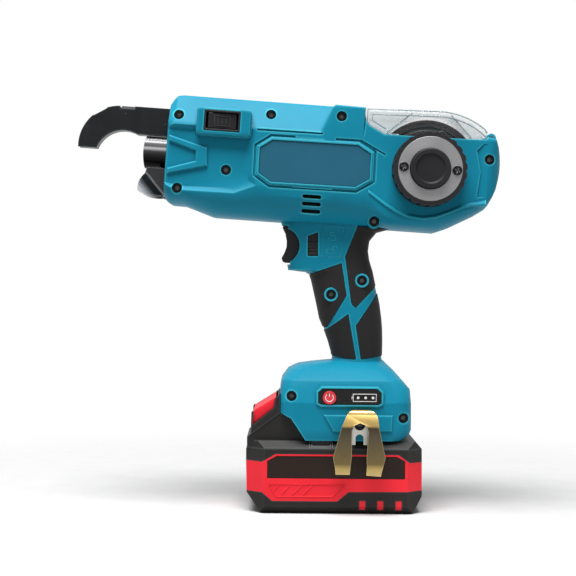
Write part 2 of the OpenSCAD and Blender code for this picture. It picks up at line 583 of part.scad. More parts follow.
// Nose: steel frame that the hook, the barrel and the wings are bolted in
module nose_frame() color(dark_steel) in_body()
    difference() {
        translate([nose_u + 1, -frame_half, -27.6]) cube([11, 2 * frame_half, 58.9]);
        translate([nose_u, -hook_half - seat, hook_low - 0.5]) cube([14, 2 * (hook_half + seat), 40]);
        rod(barrel_r + seat, nose_u, frame_back + 1);
        for (s = [0, 1]) mirror([0, s, 0]) translate([nose_u, 10.6 - seat, -26.6])
            cube([14, wing_t + 2 * seat, twist_w - barrel_r + 26.8]);
        translate([nose_u, -10.6, -26.6]) cube([14, 21.2, twist_w - barrel_r + 25.8]);
        bar(bolt_top, bolt_r + 0.15, -30, 30);
        bar(bolt_low, bolt_r + 0.15, -30, 30);
    }
module hook_outline(r, notch)
    difference() {
        union() {
            translate(hook_o) circle(r = r);
            translate([hook_o.x, hook_low]) square([hook_back - hook_o.x, hook_top - hook_low]);
        }
        translate(hook_c) circle(r = hook_in_r);
        translate([hook_o.x - 60, 1.7 - 60]) square([60 + hook_back - hook_o.x + 30, 60]);
        translate([hook_c.x, 1]) square([60, hook_low - 1]);
        if (notch) translate([nose_u - 34.5, hook_top - 2]) square([10, 5]);
        if (notch) translate(hook_o) rotate(122) translate([r - 0.9, -5]) square([5, 10]);
        translate(bolt_top) circle(r = bolt_r + 0.15);
    }
module hook_plates() color(black) in_body() for (s = [-1, 1])
    translate([0, s * (hook_half - hook_plate_t / 2) + hook_plate_t / 2, 0]) rotate([90, 0, 0])
        linear_extrude(hook_plate_t) hook_outline(hook_out_r, true);
module hook_channel() color(dark_steel) in_body()
    difference() {
        translate([0, hook_gap / 2, 0]) rotate([90, 0, 0]) linear_extrude(hook_gap)
            hook_outline(hook_out_r - 0.5, false);
        rod(0.9, nose_u - 20, hook_back + 1, wire_w);
    }
module barrel() color(steel) in_body()
    difference() {
        intersection() {
            rod(barrel_r, nose_u - barrel_out, gear_front - 5.4);
            bar([nose_u - barrel_out + 60, 1], 60, -20, 20);
        }
        rod(barrel_bore, nose_u - 40, nose_u + 30);
    }
wing_base = [[nose_u - 14.4, -13.5], [nose_u - 1.2, -28], [nose_u + 1, -26.4], [frame_back, -26.4],
    [frame_back, twist_w - barrel_r], [nose_u - 13.2, twist_w - barrel_r]];
wing_run = wing_base[1] - wing_base[0];
wing_turn = atan2(wing_run.y, wing_run.x);
module guide_wing()
    difference() {
        union() {
            slab(wing_base, 10.6, 10.6 + wing_t);
            translate([wing_base[0].x, 10.6, wing_base[0].y]) rotate([0, -wing_turn, 0]) rotate([38, 0, 0])
                translate([0, wing_t, 0]) rotate([90, 0, 0]) linear_extrude(wing_t)
                    polygon(soft([[-0.8, 0], [1.8, -8.6], [6.2, -13.8], [11.2, -11], [16, -5.8],
                        [norm(wing_run), 0]], 4, 4));
            translate([wing_base[0].x, 10.6 + wing_t / 2, wing_base[0].y]) rotate([0, 90 - wing_turn, 0])
                cylinder(r = wing_t / 2, h = norm(wing_run));
        }
        bar(bolt_low, bolt_r + 0.15, 0, 30);
    }
module guide_wings() color(steel) in_body() {
    guide_wing();
    left_side() guide_wing();
}
module lower_guide() color(dark_steel) in_body()
    difference() {
        slab([[nose_u - 6, -14], [nose_u - 2, -24.5], [nose_u + 2, -26.4], [frame_back, -26.4],
            [frame_back, twist_w - barrel_r - 1], [nose_u - 5, twist_w - barrel_r - 1]], -10.45, 10.45);
        translate([nose_u - 10, -3, -18]) cube([12, 6, 10]);
        bar(bolt_low, bolt_r + 0.15, -20, 20);
    }

// Cutter: fixed anvil with the wire hole and a swinging blade on its stud
cut_low = twist_w + case_r + 0.6;
module cutter_anvil() color(dark_steel) in_body()
    difference() {
        union() {
            translate([hook_back, -5, cut_low]) cube([6, 17, 9]);
            translate([hook_back, 9, cut_low + 4.5]) rotate([0, 90, 0]) cylinder(r = 2, h = 9.6);
        }
        rod(0.9, hook_back - 1, hook_back + 8, wire_w);
    }
module cutter_blade() color(steel) in_body()
    translate([hook_back + 6 + 0.1, 0, 0]) rotate([90, 0, 90]) linear_extrude(2.8) difference() {
        union() {
            translate([9, cut_low + 4.5]) circle(r = 4);
            translate([-4, cut_low + 1.5]) square([13, 6]);
        }
        translate([9, cut_low + 4.5]) circle(r = 2 + fit);
        translate([0, wire_w]) circle(r = 1.2);
    }

// Twist drive: motor, planetary gear, spindle with two jaws
sun_n = 15;
ring_n = 45;
orbit = sun_n * twist_mod;
planet_u = gear_front + 9;
planet_h = 10;
module along_body(u) translate([u, 0, twist_w]) rotate([0, 90, 0]) children();
module twist_motor() color(steel) in_body()
    difference() {
        union() {
            rod(twist_r, gear_back, motor_back - 3);
            rod(twist_r - 3, motor_back - 3.5, motor_back - 0.4);
        }
        rod(2.5, gear_back - 1, gear_back + 14);
    }
module sun_pinion() color(dark_steel) in_body() along_body(planet_u) {
    spur(sun_n, twist_mod, planet_h);
    translate([0, 0, planet_h - 0.5]) cylinder(r = 2.45, h = gear_back + 12 - planet_u - planet_h);
}
module ring_gear() color([0.3, 0.31, 0.33]) in_body()
    difference() {
        rod(case_r, gear_front - 5, gear_back);
        along_body(gear_front) linear_extrude(planet_h + 11)
            polygon(gear_points(ring_n, twist_mod, ring_n * twist_mod / 2 - 0.85 * twist_mod,
                ring_n * twist_mod / 2 + 1.2 * twist_mod, -0.14));
        rod(ring_n * twist_mod / 2 + 0.6, gear_front + planet_h + 10.9, gear_back + 1);
        rod(10.5, gear_front - 5.2, gear_front + 0.1);
    }
module planet(k) color(dark_steel) in_body() along_body(planet_u)
    rotate(120 * k) translate([orbit, 0, 0]) difference() {
        spur(sun_n, twist_mod, planet_h);
        translate([0, 0, -1]) cylinder(r = 1.5 + fit, h = planet_h + 2);
    }
module planet_1() planet(0);
module planet_2() planet(1);
module planet_3() planet(2);
head_u = nose_u - 6;
module planet_carrier() color(steel) in_body() {
    difference() {
        union() {
            rod(orbit + 2.6, planet_u - 3.6, planet_u - 0.4);
            for (k = [0:2]) along_body(planet_u - 1) rotate(120 * k) translate([orbit, 0, 0])
                cylinder(r = 1.5, h = planet_h);
            rod(5.6, head_u + 6, planet_u - 3);
            rod(barrel_bore - 0.4, head_u - 3, head_u + 9);
        }
        translate([head_u - 6, -2.5, twist_w - 20]) cube([11, 5, 40]);
    }
    for (s = [-1, 1]) bar([head_u, twist_w + 4 * s], 1.2, -4, 4);
}
module spindle_bearing() color(steel) in_body()
    difference() {
        rod(10.45, gear_front - 5, gear_front);
        rod(5.6 + fit, gear_front - 6, gear_front + 1);
    }
module jaw() color(dark_steel)
    difference() {
        translate([head_u, 2.1, 0]) rotate([90, 0, 0]) linear_extrude(4.2) polygon(soft([[-9, 3.2], [0, 2],
            [3, 2.6], [3, 5.6], [0, 6.2], [-6, 6.8], [-9.4, 6.4]], 0.6, 2));
        bar([head_u, 4], 1.2 + fit, -5, 5);
    }
module jaw_upper() in_body() translate([0, 0, twist_w]) jaw();
module jaw_lower() in_body() translate([0, 0, twist_w]) mirror([0, 0, 1]) jaw();

// Wire feed: upright motor, pinion, two grooved rollers that mesh, bracket, guide tubes
module feed_motor() color(steel) in_body() translate([pinion_u, pinion_y, 0])
    difference() {
        union() {
            translate([0, 0, feed_low]) cylinder(r = feed_r, h = feed_top - feed_low - 1.5);
            translate([0, 0, feed_top - 2]) cylinder(r = 5, h = 2);
        }
        translate([0, 0, feed_top - 12]) cylinder(r = 1.6, h = 20);
    }
module feed_pinion() color(dark_steel) in_body() translate([pinion_u, pinion_y, 0]) {
    translate([0, 0, roll_low]) rotate(174) spur(15, feed_mod, 1.9);
    translate([0, 0, feed_top - 10]) cylinder(r = 1.55, h = roll_low - feed_top + 11);
}
module feed_roller(y, turn)
    difference() {
        translate([feed_u, y, 0]) union() {
            translate([0, 0, roll_low]) rotate(turn) spur(20, feed_mod, 2);
            translate([0, 0, roll_low + 1]) cylinder(r = roll_pitch - 2.4, h = 3);
            translate([0, 0, roll_mid + 0.2]) rotate_extrude() difference() {
                square([roll_pitch - 0.35, roll_top - roll_mid - 0.2]);
                translate([roll_pitch, wire_w - roll_mid - 0.2]) circle(r = 0.8);
            }
        }
        translate([feed_u, y, roll_low - 1]) cylinder(r = 2.5 + fit, h = 20);
    }
module feed_roller_drive() color(steel) in_body() feed_roller(roll_y, -90);
module feed_roller_driven() color(steel) in_body() feed_roller(-roll_y, 99);
module feed_bracket() color(dark_steel) in_body()
    union() {
        translate([feed_u - 9.2, -22, bracket_low]) cube([26, 44, 2.6]);
        for (y = [-roll_y, roll_y]) translate([feed_u, y, roll_low + 0.2])
            cylinder(r = 2.5, h = bracket_low - roll_low);
    }
module wire_guides() color(steel) in_body() {
    difference() {
        rod(tube_r, hook_back + 10, feed_u - 9, wire_w);
        rod(0.9, hook_back, feed_u, wire_w);
    }
    difference() {
        rod(tube_r, pinion_u + pinion_pitch + 1.6, -31.4, wire_w);
        rod(0.9, feed_u, 0, wire_w);
    }
}

// Reel, its wound wire, and the parts that carry it
module turned_y(y0) translate([0, y0, 0]) rotate([-90, 0, 0]) children();
module reel() color(black) in_body()
    difference() {
        union() {
            turned_y(-reel_half) cylinder(r = reel_r, h = 2);
            turned_y(reel_half - 2) cylinder(r = reel_r, h = 2);
            turned_y(-reel_half) cylinder(r = coil_r * cos(7.5) - wire_d / 2 - 0.05, h = 2 * reel_half);
        }
        turned_y(-reel_half - 1) cylinder(r = spindle_r + 0.3, h = 2 * reel_half + 2);
        for (y = [-reel_half - 1, reel_half - 6], a = [0:60:300])
            turned_y(y) rotate(a) translate([18.5, 0, 0]) cylinder(r = 5, h = 7);
        for (s = [-1, 1]) turned_y(s * reel_half - 0.6) difference() {
            cylinder(r = reel_r - 3, h = 1.2);
            translate([0, 0, -1]) cylinder(r = reel_r - 5, h = 4);
        }
    }
module wire_coil() color([0.45, 0.45, 0.46]) in_body() {
    n = 24 * coil_turns;
    y0 = -coil_turns * coil_pitch / 2;
    c = [for (i = [0:n]) let (a = 15 * i) [coil_r * cos(a), y0 + coil_pitch * a / 360, coil_r * sin(a)]];
    d = [for (i = [0:n]) let (a = 15 * i) [-coil_r * sin(a), coil_pitch / 6.2832, coil_r * cos(a)]];
    wire_along(turned(c), turned([for (v = d) -v]), wire_d / 2);
}
module reel_cover() color([0.8, 0.85, 0.87, 0.5]) in_body()
    difference() {
        union() {
            difference() {
                slug(inset(turned_ccw(cover_shape), clear / 2), cover_half, 3.2, 4);
                slug([[-40.2, 22], [-28.6, 15], [34.4, 15], [34.8, 25.6], [27.6, 33.2], [16, 36.9], [6, 38.2],
                    [-13.3, 37.7], [-40, 36.6]], cover_half - cover_wall, 3, 2);
            }
            slab([[-29.2, 22.4], [-27.6, 22.4], [-10.6, 38], [-12.2, 38]], 4 - cover_half, cover_half - 4);
            slab([[26.6, 22.4], [28.2, 22.4], [13.2, 38], [11.6, 38]], 4 - cover_half, cover_half - 4);
            bar(hinge_at, hinge_r - 0.2, -10.2, 10.2);
            slab([[33.4, 25.4], [hinge_at.x, hinge_at.y - 0.6], [hinge_at.x, hinge_at.y + 2.8], [34, 28.4]],
                -10.2, 10.2);
        }
        bar(hinge_at, 1.5 + fit, -20, 20);
        for (y = [-19.4, 10.6]) bar(hinge_at, hinge_r + clear, y, y + 8.8);
        bar([0, 0], reel_r + 1.2, -cover_half + 4, cover_half - 4);
    }
module cover_hinge_pin() color(steel) in_body() bar(hinge_at, 1.5, -19, 19);
module reel_spindle() color(black) in_body()
    difference() {
        union() {
            turned_y(-knob_out - 1) cylinder(r = spindle_r, h = knob_out + 1 - reel_half + 4);
            turned_y(-knob_out - 3.4) cylinder(r = 12.8, h = 3.2);
        }
        turned_y(-knob_out - 4) cylinder(r = 9.2, h = 1.9);
    }
module knob_ring() color(black) in_body()
    difference() {
        turned_y(-knob_out) cylinder(r = knob_r, h = 14);
        turned_y(-web_in) cylinder(r = 20, h = 20);
        turned_y(-knob_out - 1) cylinder(r = spindle_r + fit, h = 20);
        turned_y(-knob_out - 1) cylinder(r = 20.8, h = 2.6);
        for (a = [0:15:345]) turned_y(-knob_out - 1) rotate(a) translate([knob_r + 1.6, 0, 0])
            cylinder(r = 2.4, h = 13.2, $fn = 16);
        for (x = [-17, 17]) bar([x, 0], 1.2 + fit, -knob_out, -web_in + 1);
    }
module knob_plate() color(steel) in_body()
    difference() {
        turned_y(-knob_out - 0.2) cylinder(r = 20.6, h = 1.8);
        turned_y(-knob_out - 1) cylinder(r = 13.1, h = 4);
        for (x = [-17, 17]) bar([x, 0], 1.35, -knob_out - 2, 0);
    }
module knob_screws() color(black) in_body() for (x = [-17, 17])
    difference() {
        union() {
            bar([x, 0], 3.1, -knob_out - 1.4, -knob_out - 0.2);
            bar([x, 0], 1.2, -knob_out - 0.6, -web_in);
        }
        for (a = [20, 110]) translate([x, -knob_out - 1.4, 0]) rotate([0, a, 0])
            cube([3.6, 1.4, 0.9], center = true);
    }
module knob_spring() color(steel) in_body() spring_y(14, 0.8, -web_in, -knob_in + 0.7, 4);
module reel_seat() color(dark_steel) in_body() {
    turned_y(reel_half - 4) cylinder(r = spindle_r, h = 31 - reel_half);
    turned_y(24) cylinder(r = 12, h = body_half - 24 - 0.2);
}

// Rocker in the raised bezel
rocker_y = body_half + 0.2;
module rocker_frame() color(black) in_body()
    difference() {
        slab(box_points(rocker_at.x - 11.55, rocker_at.y - 6.55, rocker_at.x + 11.55, rocker_at.y + 6.55),
            -body_half - 3.9, -body_half + 12);
        slab(box_points(rocker_at.x - 10.4, rocker_at.y - 5.4, rocker_at.x + 10.4, rocker_at.y + 5.4),
            -body_half - 5, -body_half + 7);
    }
module rocker() color(black) in_body() translate([rocker_at.x, -rocker_y, rocker_at.y]) rotate([0, 0, 6])
    translate([0, 0, -5]) linear_extrude(10) polygon(soft([[-9.3, -3.2], [-9.3, 1], [-5, 5.6], [5, 5.6],
        [9.3, 1], [9.3, -3.2], [5, -2.4], [0, -2], [-5, -2.4]], 1, 2));

// Trigger, its switch and return spring, and the lock slider
module trigger() color(black)
    difference() {
        slab([for (p = [[-33, 185.4], [-30.9, 181.2], [-30, 176.2], [-30.1, 172.2], [-31.4, 168.4],
            [-33.4, 164.7], [-32.6, 162.6], [-31, 161.8], [-19, 161.8], [-19, 185.4]]) [p.x, lift(p.y)]],
            -trigger_half, trigger_half);
        translate([-25, 0, lift(173)]) rotate([0, 90, 0]) cylinder(r = 4.4, h = 10);
    }
module trigger_switch() color([0.12, 0.12, 0.13]) {
    translate([-12.5, -switch_half, lift(161.2)]) cube([26.6, 2 * switch_half, 23]);
    for (y = [-5, 5]) translate([2, y, lift(158.2)]) cube([6, 1, 4]);
}
module trigger_spring() color(steel) translate([-25, 0, lift(173)]) rotate([0, 0, -90])
    spring_y(3.4, 0.45, 0, 12.5, 5);
module lock_slider() color([0.1, 0.1, 0.11]) left_side()
    difference() {
        slab(box_points(-15.7, lift(166.6), -9.9, lift(174.6)), switch_half + 1.2, 16.2);
        for (k = [0:2]) translate([-16, 15.6, lift(168.6) + 2 * k]) cube([8, 3, 0.9]);
    }

// Control panel with its button and lights, and the electronics in the foot
led_x = [16.7, 21.5, 26.2];
module control_panel() color(black) left_side()
    difference() {
        plate(panel_shape, side_y - 2, side_y - 0.4, 0.2, 1);
        bar([-1.7, 74.9 + down], 4.25 + 0.1, 0, 60);
        for (x = led_x) translate([x - 1.1, side_y - 1.2, 73.5 + down]) cube([2.2, 4, 3]);
    }
module power_button() color(red) left_side()
    difference() {
        bar([-1.7, 74.9 + down], 4.25, side_y - 4, side_y + 0.5);
        bar([-1.7, 74.9 + down], 2.9, side_y + 0.2, side_y + 2);
    }
module panel_leds() color([0.95, 0.35, 0.3]) left_side() for (x = led_x)
    translate([x - 1.05, side_y - 1.2, 73.55 + down]) cube([2.1, 0.9, 2.9]);
module controller_board() color([0.1, 0.3, 0.16]) {
    translate([-24, -24, foot_z + 19]) cube([56, 48, 1.6]);
    for (p = [[-4, -12], [-4, 8], [10, -10]]) translate([p.x, p.y, foot_z + 20]) cylinder(r = 4, h = 9);
    translate([6, 4, foot_z + 20]) cube([14, 12, 5]);
}
module terminal_block() color([0.15, 0.15, 0.16]) {
    translate([rail_end + clear + 0.1, -14, foot_z + 2]) cube([7.8, 28, slot_z - foot_z - 2.2]);
    for (y = [-9, 0, 9]) translate([rail_end - 9, y - 0.4, foot_z + 4]) cube([11, 0.8, 8]);
}

// Bent sheet belt hook screwed to the side of the foot
hook_leg = [for (p = [[6.1, 57.4], [0.6, 37.4], [1.8, 31.8], [2.3, 27], [11.2, 27], [11.8, 32],
    [12.5, 38], [12.5, 54.6], [14.2, 58.2], [17.7, 59.6], [21.4, 58.2], [23, 54.4], [22, 37.4], [22.2, 32],
    [21.7, 26.6], [30.9, 26], [32.5, 32], [34, 37.3], [29.8, 56.4], [29.3, 61], [28.8, 63.6], [27.8, 65.4],
    [26, 66.8], [23.6, 67.6], [20.6, 68], [16.4, 68], [14, 67.6], [11.8, 66.8], [10, 65.4], [8.9, 63.6],
    [7.8, 61]]) p + [0, down]];
sheet_line = [[-hook_y - 5.6, 64.7], [-hook_y - 9.4, 57], [-hook_y - 8.2, 35], [-hook_y - 11, 24]];
sheet_shape = concat(
    [for (p = sheet_line) p + [-0.85, down]], turned([for (p = sheet_line) p + [0.85, down]]));
module belt_hook() color(gold) {
    intersection() {
        slab(hook_leg, -80, 0);
        translate([-20, 0, 0]) rotate([90, 0, 90]) linear_extrude(80) polygon(sheet_shape);
    }
    difference() {
        union() {
            intersection() {
                slab(hook_leg, -80, 0);
                translate([6, 0, 0]) rotate([90, 0, 90]) linear_extrude(26) difference() {
                    translate([-hook_y - 3.2, 64.5 + down]) circle(r = 3.2);
                    translate([-hook_y - 3.2, 64.5 + down]) circle(r = 3.2 - sheet_t);
                    translate([-hook_y - 20, 44.5 + down]) square([40, 20]);
                }
            }
            slab([for (p = [[12, 45], [23.4, 45], [23.4, 60], [27, 64.7], [10.6, 64.7], [12, 60]])
                p + [0, down]], -hook_y - sheet_t, -hook_y);
        }
        slab(box_points(15.1, 40, 20.3, 49.1 + down), -60, 0);
        bar([17.7, 49.1 + down], 2.6, -60, 0);
        bar([17.7, 58 + down], 2.2, -60, 0);
    }
}
module belt_hook_screw() color(dark_steel)
    difference() {
        union() {
            bar([17.7, 58 + down], 3.6, -hook_y - sheet_t - 2.2, -hook_y - sheet_t);
            bar([17.7, 58 + down], 2 - fit, -hook_y - sheet_t - 1, -27);
        }
        translate([17.7, -hook_y - sheet_t - 0.8, 58 + down]) rotate([90, 0, 0])
            cylinder(r = 1.8, h = 5, $fn = 6);
    }

// Battery: outline in three directions, grown or shrunk by i
batt_side = [[-45, 0], [52.4, 0], [58.9, 10.6], [58.7, deck_z - 5.1], [54.2, deck_z], [-50, deck_z],
    [-55.2, deck_z - 6], [-55.2, 33.2], [-54.6, 12.5]];
batt_plan = [[-55.2, 12 - batt_half], [-43.2, -batt_half], [49.2, -batt_half], [58.9, -batt_half + 9.5],
    [58.9, batt_half - 9.5], [49.2, batt_half], [-43.2, batt_half],
    [-55.2, batt_half - 12]];
batt_front = [[-batt_half + 4.5, 0], [batt_half - 4.5, 0], [batt_half, 5], [batt_half, deck_z - 4.6],
    [batt_half - 4.4, deck_z], [-batt_half + 4.4, deck_z], [-batt_half, deck_z - 4.6], [-batt_half, 5]];
module battery_solid(i = 0)
    intersection() {
        slab(inset(batt_side, i), -60, 60);
        translate([0, 0, -1]) linear_extrude(80) polygon(inset(batt_plan, i));
        translate([-80, 0, 0]) rotate([90, 0, 90]) linear_extrude(160) polygon(inset(batt_front, i));
    }
bumper_shape = [[-60, 13.6], [-44.2, 13.6], [-38, 8.3], [3.8, 8.3], [11.1, 14.4], [52, 14.7], [62, 14.7],
    [62, 33], [50.5, 33], [43, 38.3], [-36, 38.3], [-44.8, 33.2], [-60, 33.2]];
batt_label = [[-41.2, 22.9], [47.2, 22.9], [47.2, 34.2], [42, 37.1], [-35.2, 37.1], [-41.2, 33.8]];
rib_x = [18.1, 29.6, 41.4];
module battery_lower_case() color([0.13, 0.12, 0.11])
    difference() {
        battery_solid();
        translate([-80, -60, split_z]) cube([160, 120, 40]);
        difference() {
            slab(bumper_shape, -60, 60);
            battery_solid(band_t);
        }
        battery_solid(band_t + batt_wall);
        for (x = rib_x, s = [0, 1]) mirror([0, s, 0]) translate([x, batt_half - 2.4, -1]) cube([3.8, 5, 9.7]);
    }
module battery_bumper() color(red) {
    difference() {
        intersection() {
            battery_solid();
            slab(inset(bumper_shape, 0.05), -60, 60);
        }
        battery_solid(band_t - 0.05);
        for (s = [0, 1]) mirror([0, s, 0]) slab(inset(batt_label, -0.15), batt_half - 0.8, 60);
    }
    for (x = rib_x, s = [0, 1]) mirror([0, s, 0]) intersection() {
        battery_solid(0.2);
        translate([x + 0.05, batt_half - 2.3, 2.75]) cube([3.7, 5, 5.9]);
    }
}
module battery_labels() color([0.1, 0.1, 0.1]) for (s = [0, 1])
    mirror([0, s, 0]) slab(batt_label, batt_half - 0.8, batt_half - 0.25);
latch_shape = [for (p = [[-51.7, 55.4], [-37.1, 67.2], [-36.1, 74.4], [-50.6, 65.4]]) p + [0, down]];
latch_room = [for (p = [[-60, 44.6], [-34.7, 63.6], [-34.7, 90], [-60, 90]]) p + [0, down]];
tower_shape = [for (p = [[-54.6, 40], [-17.6, 40], [-17.6, 46.4], [-23.9, 56.6], [-27, 61], [-33.9, 64.4],
    [-33.9, 76.4], [-52.2, 64.5], [-52.4, 55], [-54.6, 52.6]]) p + [0, down]];
module battery_upper_case() color([0.13, 0.12, 0.11])
    difference() {
        union() {
            intersection() {
                battery_solid();
                translate([-80, -60, split_z]) cube([160, 120, 40]);
            }
            slab(tower_shape, -29, 29);
            translate([-30, -rail_half, deck_z - 1])
                cube([30 + rail_end, 2 * rail_half, lip_z + clear - deck_z + 1.5]);
            translate([-38, -head_half, lip_z + clear])
                cube([38 + rail_end, 2 * head_half, slot_z - lip_z - 2 * clear]);
        }
        translate([-100, -60, -60]) cube([200, 120, 60 + split_z]);
        intersection() {
            battery_solid(batt_wall);
            translate([-80, -60, split_z - 1]) cube([160, 120, deck_z - split_z + 1 - batt_wall]);
        }
        slab(latch_room, -60, 60);
        for (y = [-9, 0, 9]) translate([rail_end - 10, y - 0.8, foot_z + 3]) cube([12, 1.6, 10]);
    }
module battery_latch() color(red) slug(turned_ccw(latch_shape), 27, 1.2, 2);
cell_end = batt_half - band_t - batt_wall - cell_room;
module battery_cells() color([0.2, 0.45, 0.3]) for (k = [-2:2], z = [0, 1])
    bar([2.6 + (2 * cell_r + 0.25) * k, band_t + batt_wall + cell_r + 0.3 + z * (2 * cell_r + 0.3)],
        cell_r, -cell_end, cell_end);

housing_left();
housing_right();
grip_left();
grip_right();
housing_screws();
side_labels();
nose_frame();
hook_plates();
hook_channel();
barrel();
guide_wings();
lower_guide();
cutter_anvil();
cutter_blade();
twist_motor();
sun_pinion();
ring_gear();
planet_1();
planet_2();
planet_3();
planet_carrier();
spindle_bearing();
jaw_upper();
jaw_lower();
feed_motor();
feed_pinion();
feed_roller_drive();
feed_roller_driven();
feed_bracket();
wire_guides();
reel();
wire_coil();
reel_cover();
cover_hinge_pin();
reel_spindle();
knob_ring();
knob_plate();
knob_screws();
knob_spring();
reel_seat();
rocker_frame();
rocker();
trigger();
trigger_switch();
trigger_spring();
lock_slider();
control_panel();
power_button();
panel_leds();
controller_board();
terminal_block();
belt_hook();
belt_hook_screw();
battery_lower_case();
battery_upper_case();
battery_bumper();
battery_labels();
battery_latch();
battery_cells();
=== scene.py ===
import json
import math

import bmesh
import bpy
from mathutils import Matrix, Vector
from mathutils.bvhtree import BVHTree
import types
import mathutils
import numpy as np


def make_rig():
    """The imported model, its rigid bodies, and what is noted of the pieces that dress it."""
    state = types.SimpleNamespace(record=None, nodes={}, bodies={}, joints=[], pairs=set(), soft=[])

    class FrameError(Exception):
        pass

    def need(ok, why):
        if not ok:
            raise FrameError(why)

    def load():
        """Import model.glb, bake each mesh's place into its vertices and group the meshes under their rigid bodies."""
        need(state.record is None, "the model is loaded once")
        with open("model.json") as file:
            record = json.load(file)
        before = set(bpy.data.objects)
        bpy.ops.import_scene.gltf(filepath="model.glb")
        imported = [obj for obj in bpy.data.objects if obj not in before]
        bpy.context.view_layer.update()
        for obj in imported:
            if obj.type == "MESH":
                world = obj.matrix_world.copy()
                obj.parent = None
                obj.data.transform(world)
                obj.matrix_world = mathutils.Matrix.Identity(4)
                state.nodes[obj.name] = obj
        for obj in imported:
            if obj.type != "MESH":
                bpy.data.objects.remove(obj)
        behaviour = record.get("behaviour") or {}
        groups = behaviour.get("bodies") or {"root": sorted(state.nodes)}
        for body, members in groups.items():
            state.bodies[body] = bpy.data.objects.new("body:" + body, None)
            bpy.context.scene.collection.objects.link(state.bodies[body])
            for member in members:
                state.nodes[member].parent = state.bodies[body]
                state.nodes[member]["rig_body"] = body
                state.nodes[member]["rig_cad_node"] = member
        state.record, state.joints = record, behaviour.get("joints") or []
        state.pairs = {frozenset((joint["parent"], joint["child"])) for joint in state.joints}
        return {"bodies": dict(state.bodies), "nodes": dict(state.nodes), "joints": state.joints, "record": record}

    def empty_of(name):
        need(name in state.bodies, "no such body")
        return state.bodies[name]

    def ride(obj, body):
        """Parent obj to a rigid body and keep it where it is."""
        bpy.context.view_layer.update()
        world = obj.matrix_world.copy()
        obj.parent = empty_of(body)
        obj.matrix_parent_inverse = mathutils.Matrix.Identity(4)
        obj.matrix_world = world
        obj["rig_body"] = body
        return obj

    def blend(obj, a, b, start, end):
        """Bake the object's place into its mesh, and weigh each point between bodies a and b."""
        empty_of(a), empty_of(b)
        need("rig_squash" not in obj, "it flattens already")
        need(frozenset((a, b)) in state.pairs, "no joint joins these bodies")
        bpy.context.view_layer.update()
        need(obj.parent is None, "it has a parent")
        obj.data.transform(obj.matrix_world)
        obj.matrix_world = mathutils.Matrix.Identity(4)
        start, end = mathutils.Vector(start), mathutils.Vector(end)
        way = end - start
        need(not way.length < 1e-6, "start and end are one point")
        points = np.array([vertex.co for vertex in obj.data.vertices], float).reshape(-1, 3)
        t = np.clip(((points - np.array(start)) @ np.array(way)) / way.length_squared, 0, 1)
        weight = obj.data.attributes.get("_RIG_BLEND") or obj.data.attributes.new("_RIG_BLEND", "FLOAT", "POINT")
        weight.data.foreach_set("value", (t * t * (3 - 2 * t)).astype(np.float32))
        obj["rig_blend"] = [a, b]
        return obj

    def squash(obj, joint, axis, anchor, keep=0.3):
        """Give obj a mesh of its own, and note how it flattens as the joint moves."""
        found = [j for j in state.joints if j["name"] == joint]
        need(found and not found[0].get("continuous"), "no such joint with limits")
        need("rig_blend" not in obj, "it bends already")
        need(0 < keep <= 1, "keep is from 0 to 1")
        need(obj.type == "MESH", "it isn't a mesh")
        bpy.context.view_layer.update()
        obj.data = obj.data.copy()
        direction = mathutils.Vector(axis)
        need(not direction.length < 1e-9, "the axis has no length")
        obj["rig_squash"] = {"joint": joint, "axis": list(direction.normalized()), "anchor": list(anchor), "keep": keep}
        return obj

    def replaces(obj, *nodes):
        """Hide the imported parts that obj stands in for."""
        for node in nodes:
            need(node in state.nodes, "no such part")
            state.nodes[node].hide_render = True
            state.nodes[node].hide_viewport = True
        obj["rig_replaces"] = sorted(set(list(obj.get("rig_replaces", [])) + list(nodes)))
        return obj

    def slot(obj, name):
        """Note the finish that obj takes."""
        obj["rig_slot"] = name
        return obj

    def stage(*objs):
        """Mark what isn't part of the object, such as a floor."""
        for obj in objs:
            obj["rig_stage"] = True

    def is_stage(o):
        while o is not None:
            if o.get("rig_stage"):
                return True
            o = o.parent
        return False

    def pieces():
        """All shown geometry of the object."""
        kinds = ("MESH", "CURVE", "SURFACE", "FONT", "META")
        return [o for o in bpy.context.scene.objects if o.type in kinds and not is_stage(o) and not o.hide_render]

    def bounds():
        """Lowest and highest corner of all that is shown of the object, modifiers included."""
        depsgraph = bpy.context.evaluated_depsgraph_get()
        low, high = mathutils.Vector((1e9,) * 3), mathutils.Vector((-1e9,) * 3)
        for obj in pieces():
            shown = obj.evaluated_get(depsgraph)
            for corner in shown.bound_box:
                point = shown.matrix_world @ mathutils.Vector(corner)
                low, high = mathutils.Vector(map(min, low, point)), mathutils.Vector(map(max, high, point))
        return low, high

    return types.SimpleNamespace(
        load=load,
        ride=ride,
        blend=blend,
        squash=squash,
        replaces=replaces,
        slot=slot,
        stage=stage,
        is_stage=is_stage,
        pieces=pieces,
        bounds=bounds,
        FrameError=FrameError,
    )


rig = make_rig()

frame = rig.load()
cad_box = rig.bounds()


